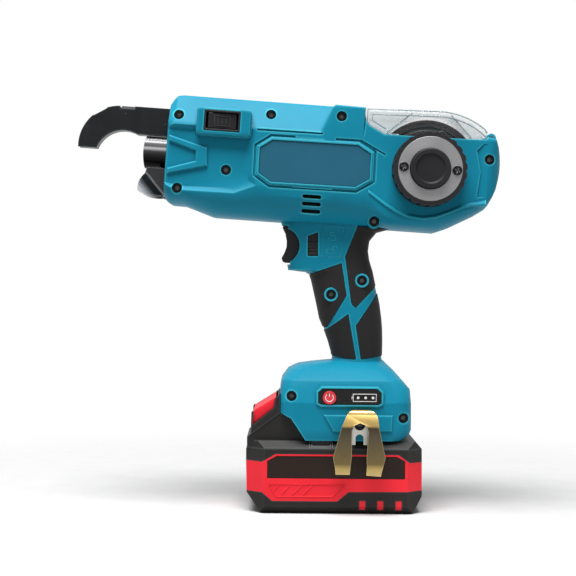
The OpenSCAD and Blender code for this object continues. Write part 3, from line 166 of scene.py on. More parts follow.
# Studio: a pale paper floor that fades out to white, one large soft lamp overhead, and white all round that
# fills the shadows. The camera stands level with the middle of the tool, one metre to its left.
class Wire:
    """A shader socket that can be used in sums, and that adds nodes to its tree."""

    def __init__(self, tree, socket=None):
        self.tree = tree
        self.socket = socket

    def node(self, kind, settings=None, sockets=None, out=0):
        made = self.tree.nodes.new(kind)
        for key, value in (settings or {}).items():
            if key == "stops":
                ramp = made.color_ramp
                while len(ramp.elements) < len(value):
                    ramp.elements.new(0.5)
                for stop, (place, colour) in zip(ramp.elements, value):
                    stop.position = place
                    stop.color = (*colour, 1.0)
            else:
                setattr(made, key, value)
        for key, value in (sockets or {}).items():
            if isinstance(value, Wire):
                self.tree.links.new(value.socket, made.inputs[key])
            else:
                made.inputs[key].default_value = value
        return Wire(self.tree, made.outputs[out])

    def feed(self, shader, key):
        self.tree.links.new(self.socket, shader.inputs[key])

    def sum(self, operation, a, b):
        return self.node("ShaderNodeMath", {"operation": operation}, {0: a, 1: b})

    def __add__(self, other):
        return self.sum("ADD", self, other)

    def __radd__(self, other):
        return self.sum("ADD", other, self)

    def __sub__(self, other):
        return self.sum("SUBTRACT", self, other)

    def __rsub__(self, other):
        return self.sum("SUBTRACT", other, self)

    def __mul__(self, other):
        return self.sum("MULTIPLY", self, other)

    def __rmul__(self, other):
        return self.sum("MULTIPLY", other, self)

    def __lt__(self, other):
        return self.sum("LESS_THAN", self, other)

    def __gt__(self, other):
        return self.sum("GREATER_THAN", self, other)

    def axes(self):
        parts = self.node("ShaderNodeSeparateXYZ", {}, {0: self}).socket.node
        return [Wire(self.tree, part) for part in parts.outputs]


scene = bpy.context.scene
scene.view_settings.view_transform = "Standard"
camera_away = 1.0
half_view = 0.192
lens = bpy.data.cameras.new("camera")
lens.sensor_width = 36
lens.lens = lens.sensor_width / 2 * camera_away / half_view
lens.clip_end = 40
camera = bpy.data.objects.new("camera", lens)
camera.location = (-0.0289, -camera_away, 0.145)
camera.rotation_euler = (math.radians(90), math.radians(-0.5), 0)
scene.collection.objects.link(camera)
scene.camera = camera

studio = bpy.data.worlds.new("studio")
studio.use_nodes = True
scene.world = studio
ray = Wire(studio.node_tree)
seen = 0.0
for kind in ("Is Camera Ray", "Is Glossy Ray", "Is Transmission Ray"):
    seen = ray.node("ShaderNodeLightPath", out=kind) + seen
sky = studio.node_tree.nodes["Background"]
sky.inputs["Color"].default_value = (1, 1, 1, 1)
(0.28 + 0.72 * (seen > 0.5)).feed(sky, "Strength")

lamp_place = Vector((-0.15, -0.5, 1.55))
lamp_aim = Vector((-0.03, 0, 0.15))
light = bpy.data.lights.new("overhead", "AREA")
light.shape = "RECTANGLE"
light.size = 1.0
light.size_y = 0.8
light.energy = 44
lamp = bpy.data.objects.new("overhead", light)
lamp.location = lamp_place
lamp.rotation_euler = (lamp_aim - lamp_place).to_track_quat("-Z", "Y").to_euler()
scene.collection.objects.link(lamp)

shape = bmesh.new()
bmesh.ops.create_grid(shape, x_segments=1, y_segments=1, size=12)
floor_mesh = bpy.data.meshes.new("floor")
shape.to_mesh(floor_mesh)
shape.free()
floor = bpy.data.objects.new("floor", floor_mesh)
scene.collection.objects.link(floor)
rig.stage(floor)


def finish_named(name):
    """A new material, its shader, and Object coordinates to start its patterns from."""
    made = bpy.data.materials.new(name)
    made.use_nodes = True
    where = Wire(made.node_tree).node("ShaderNodeTexCoord", out="Object")
    return made, made.node_tree.nodes["Principled BSDF"], where


def noise(where, scale, detail=2.0, **more):
    """Soft random grain over a surface."""
    return where.node("ShaderNodeTexNoise", {}, {"Vector": where, "Scale": scale, "Detail": detail, **more})


def tones(level, stops):
    """A colour that runs through stops, each a level from 0 to 1 and its colour."""
    return level.node("ShaderNodeValToRGB", {"stops": stops}, {"Fac": level})


paper, shader, where = finish_named("pale_floor")
tones(noise(where, 40.0), [(0.3, (0.6, 0.6, 0.6)), (0.7, (0.63, 0.63, 0.63))]).feed(shader, "Base Color")
away = where.node("ShaderNodeVectorMath", {"operation": "LENGTH"}, {0: where}, "Value")
where.node("ShaderNodeMapRange", {"interpolation_type": "SMOOTHSTEP"}, {
    "Value": away, "From Min": 0.12, "From Max": 0.55, "To Min": 1.0, "To Max": 0.0}).feed(shader, "Alpha")
shader.inputs["Roughness"].default_value = 1.0
shader.inputs["Specular IOR Level"].default_value = 0.0
floor.data.materials.append(paper)


# Housing: two glass-filled nylon half shells, moulded in teal with a fine spark-eroded grain, that meet on
# the middle plane and are screwed together from the left side.
def piece(name, shape, finish, slot, body=None):
    """A finished shape as an object of its own, in its finish, that moves with a body where one is given."""
    mesh = bpy.data.meshes.new(name)
    shape.to_mesh(mesh)
    shape.free()
    made = bpy.data.objects.new(name, mesh)
    scene.collection.objects.link(made)
    mesh.materials.append(finish)
    if body:
        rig.ride(made, body)
    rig.slot(made, slot)
    return made


def rounded(node, finish, slot, width=0.0, steps=2, turn=30, flat=0.6, rides=True):
    """A copy of a CAD node with its facets joined, smooth over gentle turns and rounded along its edges."""
    shape = bmesh.new()
    shape.from_mesh(frame["nodes"][node].data)
    bmesh.ops.remove_doubles(shape, verts=shape.verts, dist=2e-6)
    if flat:
        bmesh.ops.dissolve_limit(shape, angle_limit=math.radians(flat), verts=shape.verts, edges=shape.edges)
    for face in shape.faces:
        face.smooth = True
        face.material_index = 0
    for edge in shape.edges:
        edge.smooth = len(edge.link_faces) == 2 and edge.calc_face_angle(0.0) < math.radians(turn)
    made = piece(node + "_piece", shape, finish, slot, frame["nodes"][node]["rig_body"] if rides else None)
    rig.replaces(made, node)
    if width:
        soft = made.modifiers.new("edges", "BEVEL")
        soft.width = width
        soft.segments = steps
        soft.limit_method = "ANGLE"
        soft.angle_limit = math.radians(turn)
        soft.profile = 0.5
        soft.harden_normals = False
    even = made.modifiers.new("even", "WEIGHTED_NORMAL")
    even.keep_sharp = True
    return made


def mixed(factor, under, over):
    """One colour laid over another by a factor."""
    return factor.node("ShaderNodeMix", {"data_type": "RGBA"}, {"Factor": factor, 6: under, 7: over}, 2)


def creases(where, reach):
    """1 deep in a crease or a hollow that is about as wide as the reach, and 0 in the open."""
    return 1 - where.node("ShaderNodeAmbientOcclusion", {"samples": 6, "only_local": True},
                          {"Distance": reach}, "AO")


def painted_edge_light(where, tone, colour, reach, gain):
    """The tone, with a lighter colour painted along the outer edges as a highlight, where light catches them."""
    deep = where.node("ShaderNodeAmbientOcclusion", {"samples": 6, "inside": True, "only_local": True},
                      {"Distance": reach}, "AO")
    return mixed((1 - deep) * gain, tone, colour)


def bumped(shader, height, strength, distance, **more):
    """Fine relief on a shader from a height, over another normal where one is given."""
    height.node("ShaderNodeBump", {}, {
        "Strength": strength, "Distance": distance, "Height": height, **more}).feed(shader, "Normal")


teal, shader, where = finish_named("teal_nylon")
cloud = noise(where, 18.0, 3.0)
grain = noise(where, 2600.0)
tone = tones(cloud * 0.8 + grain * 0.2, [(0.3, (0.004, 0.2, 0.31)), (0.7, (0.006, 0.235, 0.355))])
# Painted shade darkens the teal in creases and hollows, and a painted highlight lightens its outer edges.
tone = mixed(creases(where, 0.003) * 0.7, tone, (0.002, 0.09, 0.15, 1))
painted_edge_light(where, tone, (0.05, 0.48, 0.58, 1), 0.0013, 1.5).feed(shader, "Base Color")
(0.40 + 0.12 * grain).feed(shader, "Roughness")
shader.inputs["Specular IOR Level"].default_value = 0.12
edge = where.node("ShaderNodeBevel", {"samples": 4}, {"Radius": 0.0007})
bumped(shader, grain, 0.12, 0.0001, Normal=edge)
for side in ("housing_left", "housing_right"):
    rounded(side, teal, "teal_shell", flat=0)

# Side plates: thin bare plastic plates in a duller blue, glued into shallow recesses of the flat sides,
# where a maker would put a label.
plate, shader, where = finish_named("side_plate_blue")
cloud = noise(where, 30.0, 4.0)
fine = noise(where, 3000.0)
tone = tones(cloud * 0.7 + fine * 0.3, [(0.25, (0.012, 0.1, 0.165)), (0.75, (0.016, 0.118, 0.19))])
tone.feed(shader, "Base Color")
(0.36 + 0.1 * cloud).feed(shader, "Roughness")
shader.inputs["Specular IOR Level"].default_value = 0.2
bumped(shader, fine, 0.08, 0.0001)
rounded("side_labels", plate, "side_label", 0.00015)

# Grip: soft black thermoplastic rubber pads, overmoulded into recesses of the two handle halves, matt, with
# a fine leather-like pebble.
rubber, shader, where = finish_named("grip_rubber")
pebble = where.node("ShaderNodeTexVoronoi", {"feature": "SMOOTH_F1"}, {"Vector": where, "Scale": 1500.0},
                    "Distance")
cloud = noise(where, 22.0, 4.0)
tones(cloud, [(0.25, (0.014, 0.013, 0.013)), (0.75, (0.022, 0.020, 0.020))]).feed(shader, "Base Color")
(0.58 + 0.14 * pebble).feed(shader, "Roughness")
shader.inputs["Specular IOR Level"].default_value = 0.15
bumped(shader, pebble, 0.25, 0.0002)
for side in ("grip_left", "grip_right"):
    rounded(side, rubber, "grip_rubber", 0.0006, 3)

# Screws: socket head screws in black oxide, seated in deep round pockets of the left shell; the larger ones
# hold the belt hook and the face of the reel knob. A painted glint lightens the sockets and the sides.
oxide, shader, where = finish_named("black_oxide")
spot = noise(where, 700.0, 4.0)
tone = tones(spot, [(0.35, (0.005, 0.005, 0.006)), (0.75, (0.016, 0.016, 0.017))])
# Faces that don't face left and the hollows of the sockets are painted lighter, as a glint.
sides = where.node("ShaderNodeNewGeometry", out="Normal").axes()[1] > -0.9
painted_glint = sides.sum("MAXIMUM", sides, creases(where, 0.002) * 0.8)
mixed(painted_glint * spot, tone, (0.34, 0.34, 0.35, 1)).feed(shader, "Base Color")
(0.25 + 0.25 * spot).feed(shader, "Roughness")
shader.inputs["Metallic"].default_value = 0.9
for node in ("housing_screws", "belt_hook_screw", "knob_screws"):
    rounded(node, oxide, "black_screw", 0.0002)


# Wire channel: a milled steel strip with a groove for the wire, clamped between the two plates of the hook.
# Its cutter marks run along it.
def stretched(where, *scale):
    """Coordinates scaled by a number for each axis, for marks that run one way."""
    return where.node("ShaderNodeMapping", {}, {"Vector": where, "Scale": scale})


milled, shader, where = finish_named("milled_steel")
cut = noise(stretched(where, 120.0, 2400.0, 900.0), 1.0)
spot = noise(where, 260.0, 5.0)
tones(spot, [(0.3, (0.09, 0.09, 0.095)), (0.7, (0.17, 0.17, 0.175))]).feed(shader, "Base Color")
(0.3 + 0.2 * cut).feed(shader, "Roughness")
shader.inputs["Metallic"].default_value = 1.0
bumped(shader, cut, 0.1, 0.0001)
rounded("hook_channel", milled, "gear_steel", 0.0003)

# Hook and nose: two laser-cut steel side plates that bend round the bars, and the steel frame between the
# shells that they are bolted in, all in black oxide with faint rubbed spots.
black_plate, shader, where = finish_named("black_hook_plate")
cloud = noise(where, 90.0, 6.0, Roughness=0.7)
speck = where.node("ShaderNodeTexVoronoi", {}, {"Vector": where, "Scale": 230.0}, "Distance")
rub = (speck < 0.09) * (cloud > 0.55)
tone = tones(cloud, [(0.3, (0.006, 0.007, 0.008)), (0.75, (0.012, 0.0135, 0.0155))])
tone = mixed(rub, tone, (0.07, 0.08, 0.09, 1))
# A painted highlight lightens the outer edges.
painted_edge_light(where, tone, (0.2, 0.21, 0.22, 1), 0.0009, 0.8 * cloud).feed(shader, "Base Color")
(0.36 + 0.22 * cloud).feed(shader, "Roughness")
shader.inputs["Specular IOR Level"].default_value = 0.15
bumped(shader, cloud, 0.12, 0.0002)
rounded("hook_plates", black_plate, "black_steel", 0.0005)
rounded("nose_frame", black_plate, "gear_steel", 0.0003)


# Barrel: a turned and polished steel tube, pressed into the nose, that the twisting jaws come out of. The
# bright and dark bands that a studio throws along it are painted into its colour, so they stay in place.
def greys(level, blue, steps):
    """Greys with a touch of blue, each given as a level from 0 to 1 and its brightness."""
    return tones(level, [(at, (grey, grey, blue * grey)) for at, grey in steps])


polish, shader, where = finish_named("polished_steel")
lines = noise(stretched(where, 6000.0, 60.0, 60.0), 1.0)
along, across, above = where.axes()
lean_sin = 0.0628
lean_cos = 0.998
barrel_low = 0.2156
barrel_across = 0.0216
height = (lean_sin * along + lean_cos * above - barrel_low) * (1 / barrel_across)
greys(height + 0.04 * lines - 0.02, 1.03, [
    (0.0, 0.005), (0.3, 0.008), (0.4, 0.02), (0.5, 0.05), (0.535, 0.15), (0.565, 0.34), (0.6, 0.5),
    (0.63, 0.28), (0.66, 0.085), (0.69, 0.026), (0.72, 0.01), (0.755, 0.012), (0.785, 0.05),
    (0.815, 0.075), (0.85, 0.14), (0.875, 0.44), (0.905, 0.9)]).feed(shader, "Base Color")
(0.14 + 0.14 * lines).feed(shader, "Roughness")
shader.inputs["Metallic"].default_value = 1.0
rounded("barrel", polish, "polished_steel", 0.0004)

# Guide wings: bent and blackened spring steel sheets under the barrel that lead the bars to it, screwed to
# the block that guides the wire's end. The light on the flared edge, a highlight along the fold and a lighter
# line along the outer edges are painted into their colour too.
wing, shader, where = finish_named("dark_sheet")
cloud = noise(where, 120.0, 5.0)
along, across, above = where.axes()
wing_long = 0.012
flare = (-0.78 * (along + 0.1217) - 0.625 * (above - 0.2189) + 0.002) * (1 / wing_long)
tone = greys(flare + 0.06 * cloud - 0.03, 1.05, [
    (0.0, 0.028), (0.11, 0.028), (0.14, 0.15), (0.205, 0.15), (0.25, 0.03), (0.285, 0.013), (0.52, 0.014),
    (0.66, 0.12), (0.77, 0.27), (0.89, 0.42), (1.0, 0.64)])
painted_edge_light(where, tone, (0.3, 0.31, 0.33, 1), 0.0006, 0.6).feed(shader, "Base Color")
(0.2 + 0.16 * cloud).feed(shader, "Roughness")
shader.inputs["Metallic"].default_value = 0.6
rounded("guide_wings", wing, "sheet_steel", 0.0004)
rounded("lower_guide", wing, "gear_steel", 0.0004)

# Reel: brown-black moulded flanges with rolled rims on a drum that slips on the spindle, with the annealed
# tie wire wound on it in one layer, and a small ring on the flange that the wire's end is hooked in.
moulded, shader, where = finish_named("black_moulding")
pebble = noise(where, 1800.0, 3.0)
cloud = noise(where, 35.0, 4.0)
tone = tones(cloud, [(0.3, (0.008, 0.008, 0.0095)), (0.7, (0.015, 0.015, 0.017))])
# A painted highlight lightens the outer edges.
painted_edge_light(where, tone, (0.06, 0.06, 0.063, 1), 0.0006, 1.0).feed(shader, "Base Color")
(0.38 + 0.2 * pebble).feed(shader, "Roughness")
shader.inputs["Specular IOR Level"].default_value = 0.2
bumped(shader, pebble, 0.15, 0.0001)
flange, shader, where = finish_named("reel_moulding")
swirl = noise(where, 60.0, 5.0, Distortion=0.6)
tones(swirl, [(0.3, (0.026, 0.019, 0.0175)), (0.7, (0.05, 0.038, 0.035))]).feed(shader, "Base Color")
(0.3 + 0.2 * swirl).feed(shader, "Roughness")
shader.inputs["Specular IOR Level"].default_value = 0.3
rounded("reel", flange, "black_plastic", 0.0003)


def bead(name, lines, width, finish, slot, body):
    """A round bead of one width, laid along lines of points; a line that ends where it starts is a loop."""
    path = bpy.data.curves.new(name, "CURVE")
    path.dimensions = "3D"
    path.bevel_depth = width / 2
    path.bevel_resolution = 2
    path.use_fill_caps = True
    for line in lines:
        loop = (Vector(line[0]) - Vector(line[-1])).length < 1e-7
        stops = line[:-1] if loop else line
        run = path.splines.new("POLY")
        run.points.add(len(stops) - 1)
        for point, place in zip(run.points, stops):
            point.co = (*place, 1)
        run.use_cyclic_u = loop
    sketch = bpy.data.objects.new(name + "_path", path)
    scene.collection.objects.link(sketch)
    bpy.context.view_layer.update()
    mesh = bpy.data.meshes.new_from_object(sketch.evaluated_get(bpy.context.evaluated_depsgraph_get()))
    bpy.data.objects.remove(sketch)
    mesh.name = name
    made = bpy.data.objects.new(name, mesh)
    scene.collection.objects.link(made)
    for face in mesh.polygons:
        face.use_smooth = True
    mesh.materials.clear()
    mesh.materials.append(finish)
    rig.ride(made, body)
    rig.slot(made, slot)


def arc(centre, radius, first, last, steps):
    """Points on an arc that faces the left side of the tool, angles in degrees from the back upwards."""
    turns = [math.radians(first + (last - first) * k / steps) for k in range(steps + 1)]
    return [(centre[0] + radius * math.cos(t), centre[1], centre[2] + radius * math.sin(t)) for t in turns]


reel_x = 0.061
reel_z = 0.2216
axle = (reel_x, 0, reel_z)
rim_section = ((0.0322, 0.0143), (0.0338, 0.0143), (0.0343, 0.0148), (0.0343, 0.0162), (0.0338, 0.0167),
               (0.0322, 0.0167))
rims = bmesh.new()
for side in (-1, 1):
    ends = [rims.verts.new((reel_x + out, side * y, reel_z)) for out, y in rim_section]
    ring = [rims.edges.new((ends[k - 1], ends[k])) for k in range(len(ends))]
    bmesh.ops.spin(rims, geom=ends + ring, cent=axle, axis=(0, 1, 0), angle=math.tau, steps=96,
                   use_merge=True)
bmesh.ops.recalc_face_normals(rims, faces=rims.faces)
for face in rims.faces:
    face.smooth = True
rolled = piece("reel_rims", rims, flange, "black_plastic", "reel")
rolled.data.set_sharp_from_angle(angle=math.radians(30))

drawn, shader, where = finish_named("annealed_wire")
scale = noise(where, 900.0, 5.0)
tones(scale, [(0.3, (0.07, 0.068, 0.066)), (0.75, (0.2, 0.195, 0.19))]).feed(shader, "Base Color")
(0.3 + 0.25 * scale).feed(shader, "Roughness")
shader.inputs["Metallic"].default_value = 1.0
ring_line = arc((0.0711, -0.0165, 0.2456), 0.003, 0, 360, 32)
bead("reel_ring", [ring_line], 0.0007, drawn, "black_plastic", "reel")

turns = 15
turn_steps = 60
pitch = 0.00175
coil_radius = 0.0285
lean = math.radians(3.6)
coil = bmesh.new()
start = Matrix.Translation((reel_x + coil_radius, -turns * pitch / 2, reel_z))
start = start @ Matrix.Rotation(lean, 4, "X")
bmesh.ops.create_circle(coil, cap_ends=True, segments=8, radius=0.0006, matrix=start)
bmesh.ops.spin(coil, geom=coil.verts[:] + coil.edges[:] + coil.faces[:], cent=axle, axis=(0, -1, 0),
               dvec=(0, pitch / turn_steps, 0), angle=math.tau * turns, steps=turns * turn_steps)
bmesh.ops.holes_fill(coil, edges=[e for e in coil.edges if len(e.link_faces) == 1])
bmesh.ops.rotate(coil, verts=coil.verts, cent=axle, matrix=Matrix.Rotation(lean, 3, "Y"))
bmesh.ops.recalc_face_normals(coil, faces=coil.faces)
for face in coil.faces:
    face.smooth = len(face.verts) == 4
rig.replaces(piece("wound_wire", coil, drawn, "tie_wire", "reel"), "wire_coil")

# Reel cover: a clear polycarbonate lid, injection moulded, on a hinge pin at the back. A painted highlight
# draws its edges and the two slanted ribs inside greyer and less clear, and outside the reel's circle the lid
# is drawn greyer in patches, so it is clearest over the reel.
clear, shader, where = finish_named("clear_polycarbonate")
lid_patches = noise(where, 60.0, 5.0)
(0.05 + 0.06 * lid_patches).feed(shader, "Roughness")
along, across, above = where.axes()
clear_radius = 0.0348
outside = (along - reel_x) * (along - reel_x) + (above - reel_z) * (above - reel_z) > clear_radius ** 2
(0.02 + (0.08 + 0.17 * lid_patches) * outside).feed(shader, "Alpha")
shader.inputs["Base Color"].default_value = (0.34, 0.43, 0.46, 1)
# The edge finish is a painted highlight, greyer and less clear than the lid.
rim, shader, where = finish_named("clear_edge")
(0.4 + 0.4 * noise(where, 300.0, 4.0)).feed(shader, "Alpha")
shader.inputs["Base Color"].default_value = (0.36, 0.43, 0.45, 1)
shader.inputs["Roughness"].default_value = 0.12
cover = rounded("reel_cover", clear, "clear_cover", 0.0007)
cover.data.materials.append(rim)
cover.modifiers["edges"].material = 1


def on_side(node, places):
    """Points on the left face of a node, below places that are given along and above."""
    shape = bmesh.new()
    shape.from_mesh(frame["nodes"][node].data)
    skin = BVHTree.FromBMesh(shape)
    shape.free()
    return [skin.ray_cast((x, -0.2, z), (0, 1, 0))[0] for x, z in places]


def bow(radius, first):
    """The lid's round back, from an angle in degrees up to its top, in mm from the reel's axle."""
    turns = [math.radians(a) for a in range(first, 92, 4)]
    return [(6.2 + radius * math.cos(t), -10.4 + radius * math.sin(t)) for t in turns]


def leaning(line):
    """Places of a line in mm from the reel's axle, along and above the body, which leans 3.6 degrees."""
    return [(reel_x + (lean_cos * u + lean_sin * w) / 1000, reel_z + (lean_cos * w - lean_sin * u) / 1000)
            for u, w in line]


lid = [(37, 27.4)] + bow(49.8, 54)
lid += [(-13.3, 38.8), (-41.4, 37.7), (-41.3, 29.4), (-39.3, 27.1), (-29.6, 22.2), (-20, 22.4)]
inner = bow(46.4, 50) + [(-13.3, 35.4), (-38.2, 34.4), (-38.1, 30.4), (-28.8, 25.6)]
slants = [[(-28.2, 23.2), (-12.4, 37.2)], [(27.2, 23.4), (13, 37.4)]]
cover_lines = [on_side("reel_cover", leaning(line)) for line in [lid, inner] + slants]
# These lines are painted highlight along the lid's edges and ribs.
bead("cover_lines", cover_lines, 0.001, rim, "clear_cover", "reel_cover")

# Reel knob: a fluted black moulded ring on the spindle's hub, round a satin steel face plate that two screws
# hold; it is pulled out and turned to free the reel.
for node, width in (("reel_spindle", 0.0006), ("knob_ring", 0.0004)):
    rounded(node, moulded, "black_plastic", width)
satin, shader, where = finish_named("satin_steel")
fine = noise(where, 2200.0)
cloud = noise(where, 70.0, 5.0)
tone = tones(cloud * 0.6 + fine * 0.4, [(0.3, (0.2, 0.2, 0.205)), (0.7, (0.29, 0.29, 0.295))])
tone.feed(shader, "Base Color")
(0.42 + 0.16 * fine).feed(shader, "Roughness")
shader.inputs["Metallic"].default_value = 0.85
bumped(shader, fine, 0.1, 0.0001)
rounded("knob_plate", satin, "knob_steel", 0.0004)


# Rocker, trigger and lock: black nylon mouldings that move in openings of the left shell and the handle,
# with the switch and the reel's seat of the same plastic. The rocker has a raised frame with three ribs, and
# a strip along the trigger's top edge closes the slot above it.
def side_sheet(name, faces, near, far, finish, slot, body):
    """A flat sheet from one depth to another, made of side-view faces that may share their corners."""
    shape = bmesh.new()
    for face in faces:
        shape.faces.new([shape.verts.new((x, near, z)) for x, z in face])
    bmesh.ops.remove_doubles(shape, verts=shape.verts, dist=1e-6)
    grown = bmesh.ops.extrude_face_region(shape, geom=shape.faces[:])["geom"]
    moved = [vert for vert in grown if isinstance(vert, bmesh.types.BMVert)]
    bmesh.ops.translate(shape, verts=moved, vec=(0, far - near, 0))
    bmesh.ops.recalc_face_normals(shape, faces=shape.faces)
    piece(name, shape, finish, slot, body)


for node, width, steps in (
        ("rocker_frame", 0.0003, 2), ("rocker", 0.0004, 2), ("trigger", 0.0012, 3),
        ("lock_slider", 0.0003, 2), ("trigger_switch", 0.0004, 2), ("reel_seat", 0.0004, 2)):
    rounded(node, moulded, "black_plastic", width, steps)
rocker_lines = [
    [(-0.0772, 0.2492), (-0.0672, 0.2486), (-0.0668, 0.2549), (-0.0768, 0.2555), (-0.0772, 0.2492)]]
for x in (-0.0748, -0.0722, -0.0696):
    drop = 0.062 * (x + 0.0772)
    rocker_lines.append([(x, 0.2507 - drop), (x, 0.254 - drop)])
rocker_marks = [on_side("rocker", line) for line in rocker_lines]
bead("rocker_marks", rocker_marks, 0.0005, moulded, "black_plastic", "rocker")
trigger_top = [(-0.0322, 0.1854), (-0.0265, 0.1854), (-0.0265, 0.186), (-0.0325, 0.186)]
side_sheet("trigger_edge", [trigger_top], -0.0086, 0.0086, moulded, "black_plastic", "trigger")

# Lock window and vents: a thin black sheet on the floor of the opening that the lock slides in, marks of a
# shut and an open padlock moulded in a frame beside it, and a thin black sheet behind the vents; both black
# sheets are painted shade that keeps the openings dark.
window_floor = [(-0.0161, 0.1662), (-0.0095, 0.1662), (-0.0095, 0.1816), (-0.0161, 0.1793)]
side_sheet("lock_shade_sheet", [window_floor], -0.01122, -0.01112, moulded, "black_plastic", "tool")
vents = [(-0.0204, 0.1924), (-0.0064, 0.1924), (-0.0064, 0.2064), (-0.0204, 0.2064)]
side_sheet("vent_shade_sheet", [vents], -0.016, -0.0156, moulded, "black_plastic", "tool")


def padlock(x, z, opened):
    """A padlock's outline: its body, and its bow, which is lifted to one side when it is open."""
    left = x - 0.0022
    right = x + 0.0022
    low = z - 0.0032
    body = [(left, low), (right, low), (right, z), (left, z), (left, low)]
    shift = 0.003 if opened else 0
    bow_line = [(p[0] + shift, p[2]) for p in arc((x, 0, z + 0.0006), 0.0015, 180, 0, 8)]
    return [body, [(x - 0.0015 + shift, z)] + bow_line + ([] if opened else [(x + 0.0015, z)])]


marks = [[(-0.0070, 0.1655), (0.0052, 0.1655), (0.0074, 0.1851), (-0.0062, 0.1859), (-0.0070, 0.1655)]]
marks += padlock(-0.0002, 0.1798, False) + padlock(-0.0014, 0.1706, True)
bead("lock_marks", [on_side("housing_left", line) for line in marks], 0.00045, teal, "teal_shell", "tool")

# Control panel: a glossy black polyester overlay stuck on the foot, with a red moulded button that has a
# power mark, and three small light windows inside a printed white battery mark.
gloss, shader, where = finish_named("panel_black")
fine = noise(where, 500.0, 3.0)
tones(fine, [(0.3, (0.006, 0.006, 0.0065)), (0.7, (0.011, 0.011, 0.0115))]).feed(shader, "Base Color")
(0.22 + 0.12 * fine).feed(shader, "Roughness")
shader.inputs["Specular IOR Level"].default_value = 0.2
rounded("control_panel", gloss, "panel_face", 0.0001)
button, shader, where = finish_named("button_red")
fine = noise(where, 600.0, 3.0)
tones(fine, [(0.3, (0.62, 0.02, 0.035)), (0.7, (0.72, 0.03, 0.045))]).feed(shader, "Base Color")
(0.3 + 0.1 * fine).feed(shader, "Roughness")
rounded("power_button", button, "red_button", 0.0003)
glow, shader, where = finish_named("light_window")
lit = tones(noise(where, 900.0), [(0.3, (0.75, 0.75, 0.75)), (0.7, (0.85, 0.85, 0.85))])
near = 1.0
for x in (0.0167, 0.0215, 0.0262):
    away = where.node("ShaderNodeVectorMath", {"operation": "DISTANCE"}, {0: where, 1: (x, -0.0384, 0.075)},
                      "Value")
    near = away.sum("MINIMUM", away, near)
lit_radius = 0.00085
mixed(near < lit_radius, (0.008, 0.008, 0.008, 1), lit).feed(shader, "Base Color")
shader.inputs["Roughness"].default_value = 0.3
shader.inputs["Specular IOR Level"].default_value = 0.2
rounded("panel_leds", glow, "panel_light")
print_white, shader, where = finish_named("printed_white")
fine = noise(where, 1200.0)
tones(fine, [(0.3, (0.72, 0.7, 0.7)), (0.7, (0.82, 0.8, 0.8))]).feed(shader, "Base Color")
(0.4 + 0.2 * fine).feed(shader, "Roughness")
print_y = -0.0383
outline = [(0.0135, print_y, z) for z in (0.0726, 0.0773)] + [(0.0283, print_y, z) for z in (0.0773, 0.0726)]
terminal = [(0.0128, print_y, z) for z in (0.0741, 0.0758)]
bead("charge_mark", [outline + outline[:1], terminal], 0.0006, print_white, "panel_light", "tool")
button_y = -0.0389
bar = [(-0.0017, button_y, z) for z in (0.0754, 0.0777)]
power_mark = [arc((-0.0017, button_y, 0.0749), 0.0025, 130, 410, 24), bar]
bead("power_mark", power_mark, 0.0006, print_white, "panel_light", "power_button")

# Belt hook: a bent sheet of yellow zinc-plated steel with two legs, brushed along them, under one screw on
# the foot. Its light and dark stretches are painted into its colour, and the inside of the bend is pale.
zinc, shader, where = finish_named("yellow_zinc")
brush = noise(stretched(where, 3600.0, 3600.0, 90.0), 1.0)
cloud = noise(where, 140.0, 5.0)
along, across, above = where.axes()
hook_low = 0.026
hook_high = 0.0434
tone = tones((above - hook_low) * (1 / hook_high) + 0.05 * cloud - 0.025, [
    (0.0, (0.62, 0.46, 0.2)), (0.1, (0.5, 0.36, 0.13)), (0.17, (0.2, 0.15, 0.065)),
    (0.55, (0.115, 0.095, 0.06)), (0.7, (0.075, 0.06, 0.038)), (0.735, (0.48, 0.33, 0.11)),
    (1.0, (0.6, 0.42, 0.15))])
pale = tones(brush, [(0.2, (0.5, 0.48, 0.44)), (0.8, (0.75, 0.73, 0.68))])
tone = mixed((across > -0.0415) * (above < 0.0605), tone, pale)
streaks = tones(brush * 0.6 + cloud * 0.4, [(0.25, (0.55, 0.55, 0.55)), (0.8, (1.0, 1.0, 1.0))])
brushed = where.node("ShaderNodeMix", {"data_type": "RGBA", "blend_type": "MULTIPLY"},
                     {"Factor": 0.7, 6: tone, 7: streaks}, 2)
# A painted highlight lightens the outer edges.
painted_edge_light(where, brushed, (0.7, 0.58, 0.32, 1), 0.0005, 0.8).feed(shader, "Base Color")
(0.24 + 0.2 * brush).feed(shader, "Roughness")
shader.inputs["Metallic"].default_value = 1.0
rounded("belt_hook", zinc, "yellow_zinc", 0.0003)

# Battery: black nylon cases that are screwed together, a bright red bumper band set into them, bare dark
# labels, and a red release button in the tower at the front, between two moulded cheeks.
case, shader, where = finish_named("battery_case")
pebble = noise(where, 1700.0, 3.0)
cloud = noise(where, 30.0, 4.0)
tone = tones(cloud, [(0.3, (0.012, 0.0112, 0.0105)), (0.7, (0.018, 0.0168, 0.0158))])
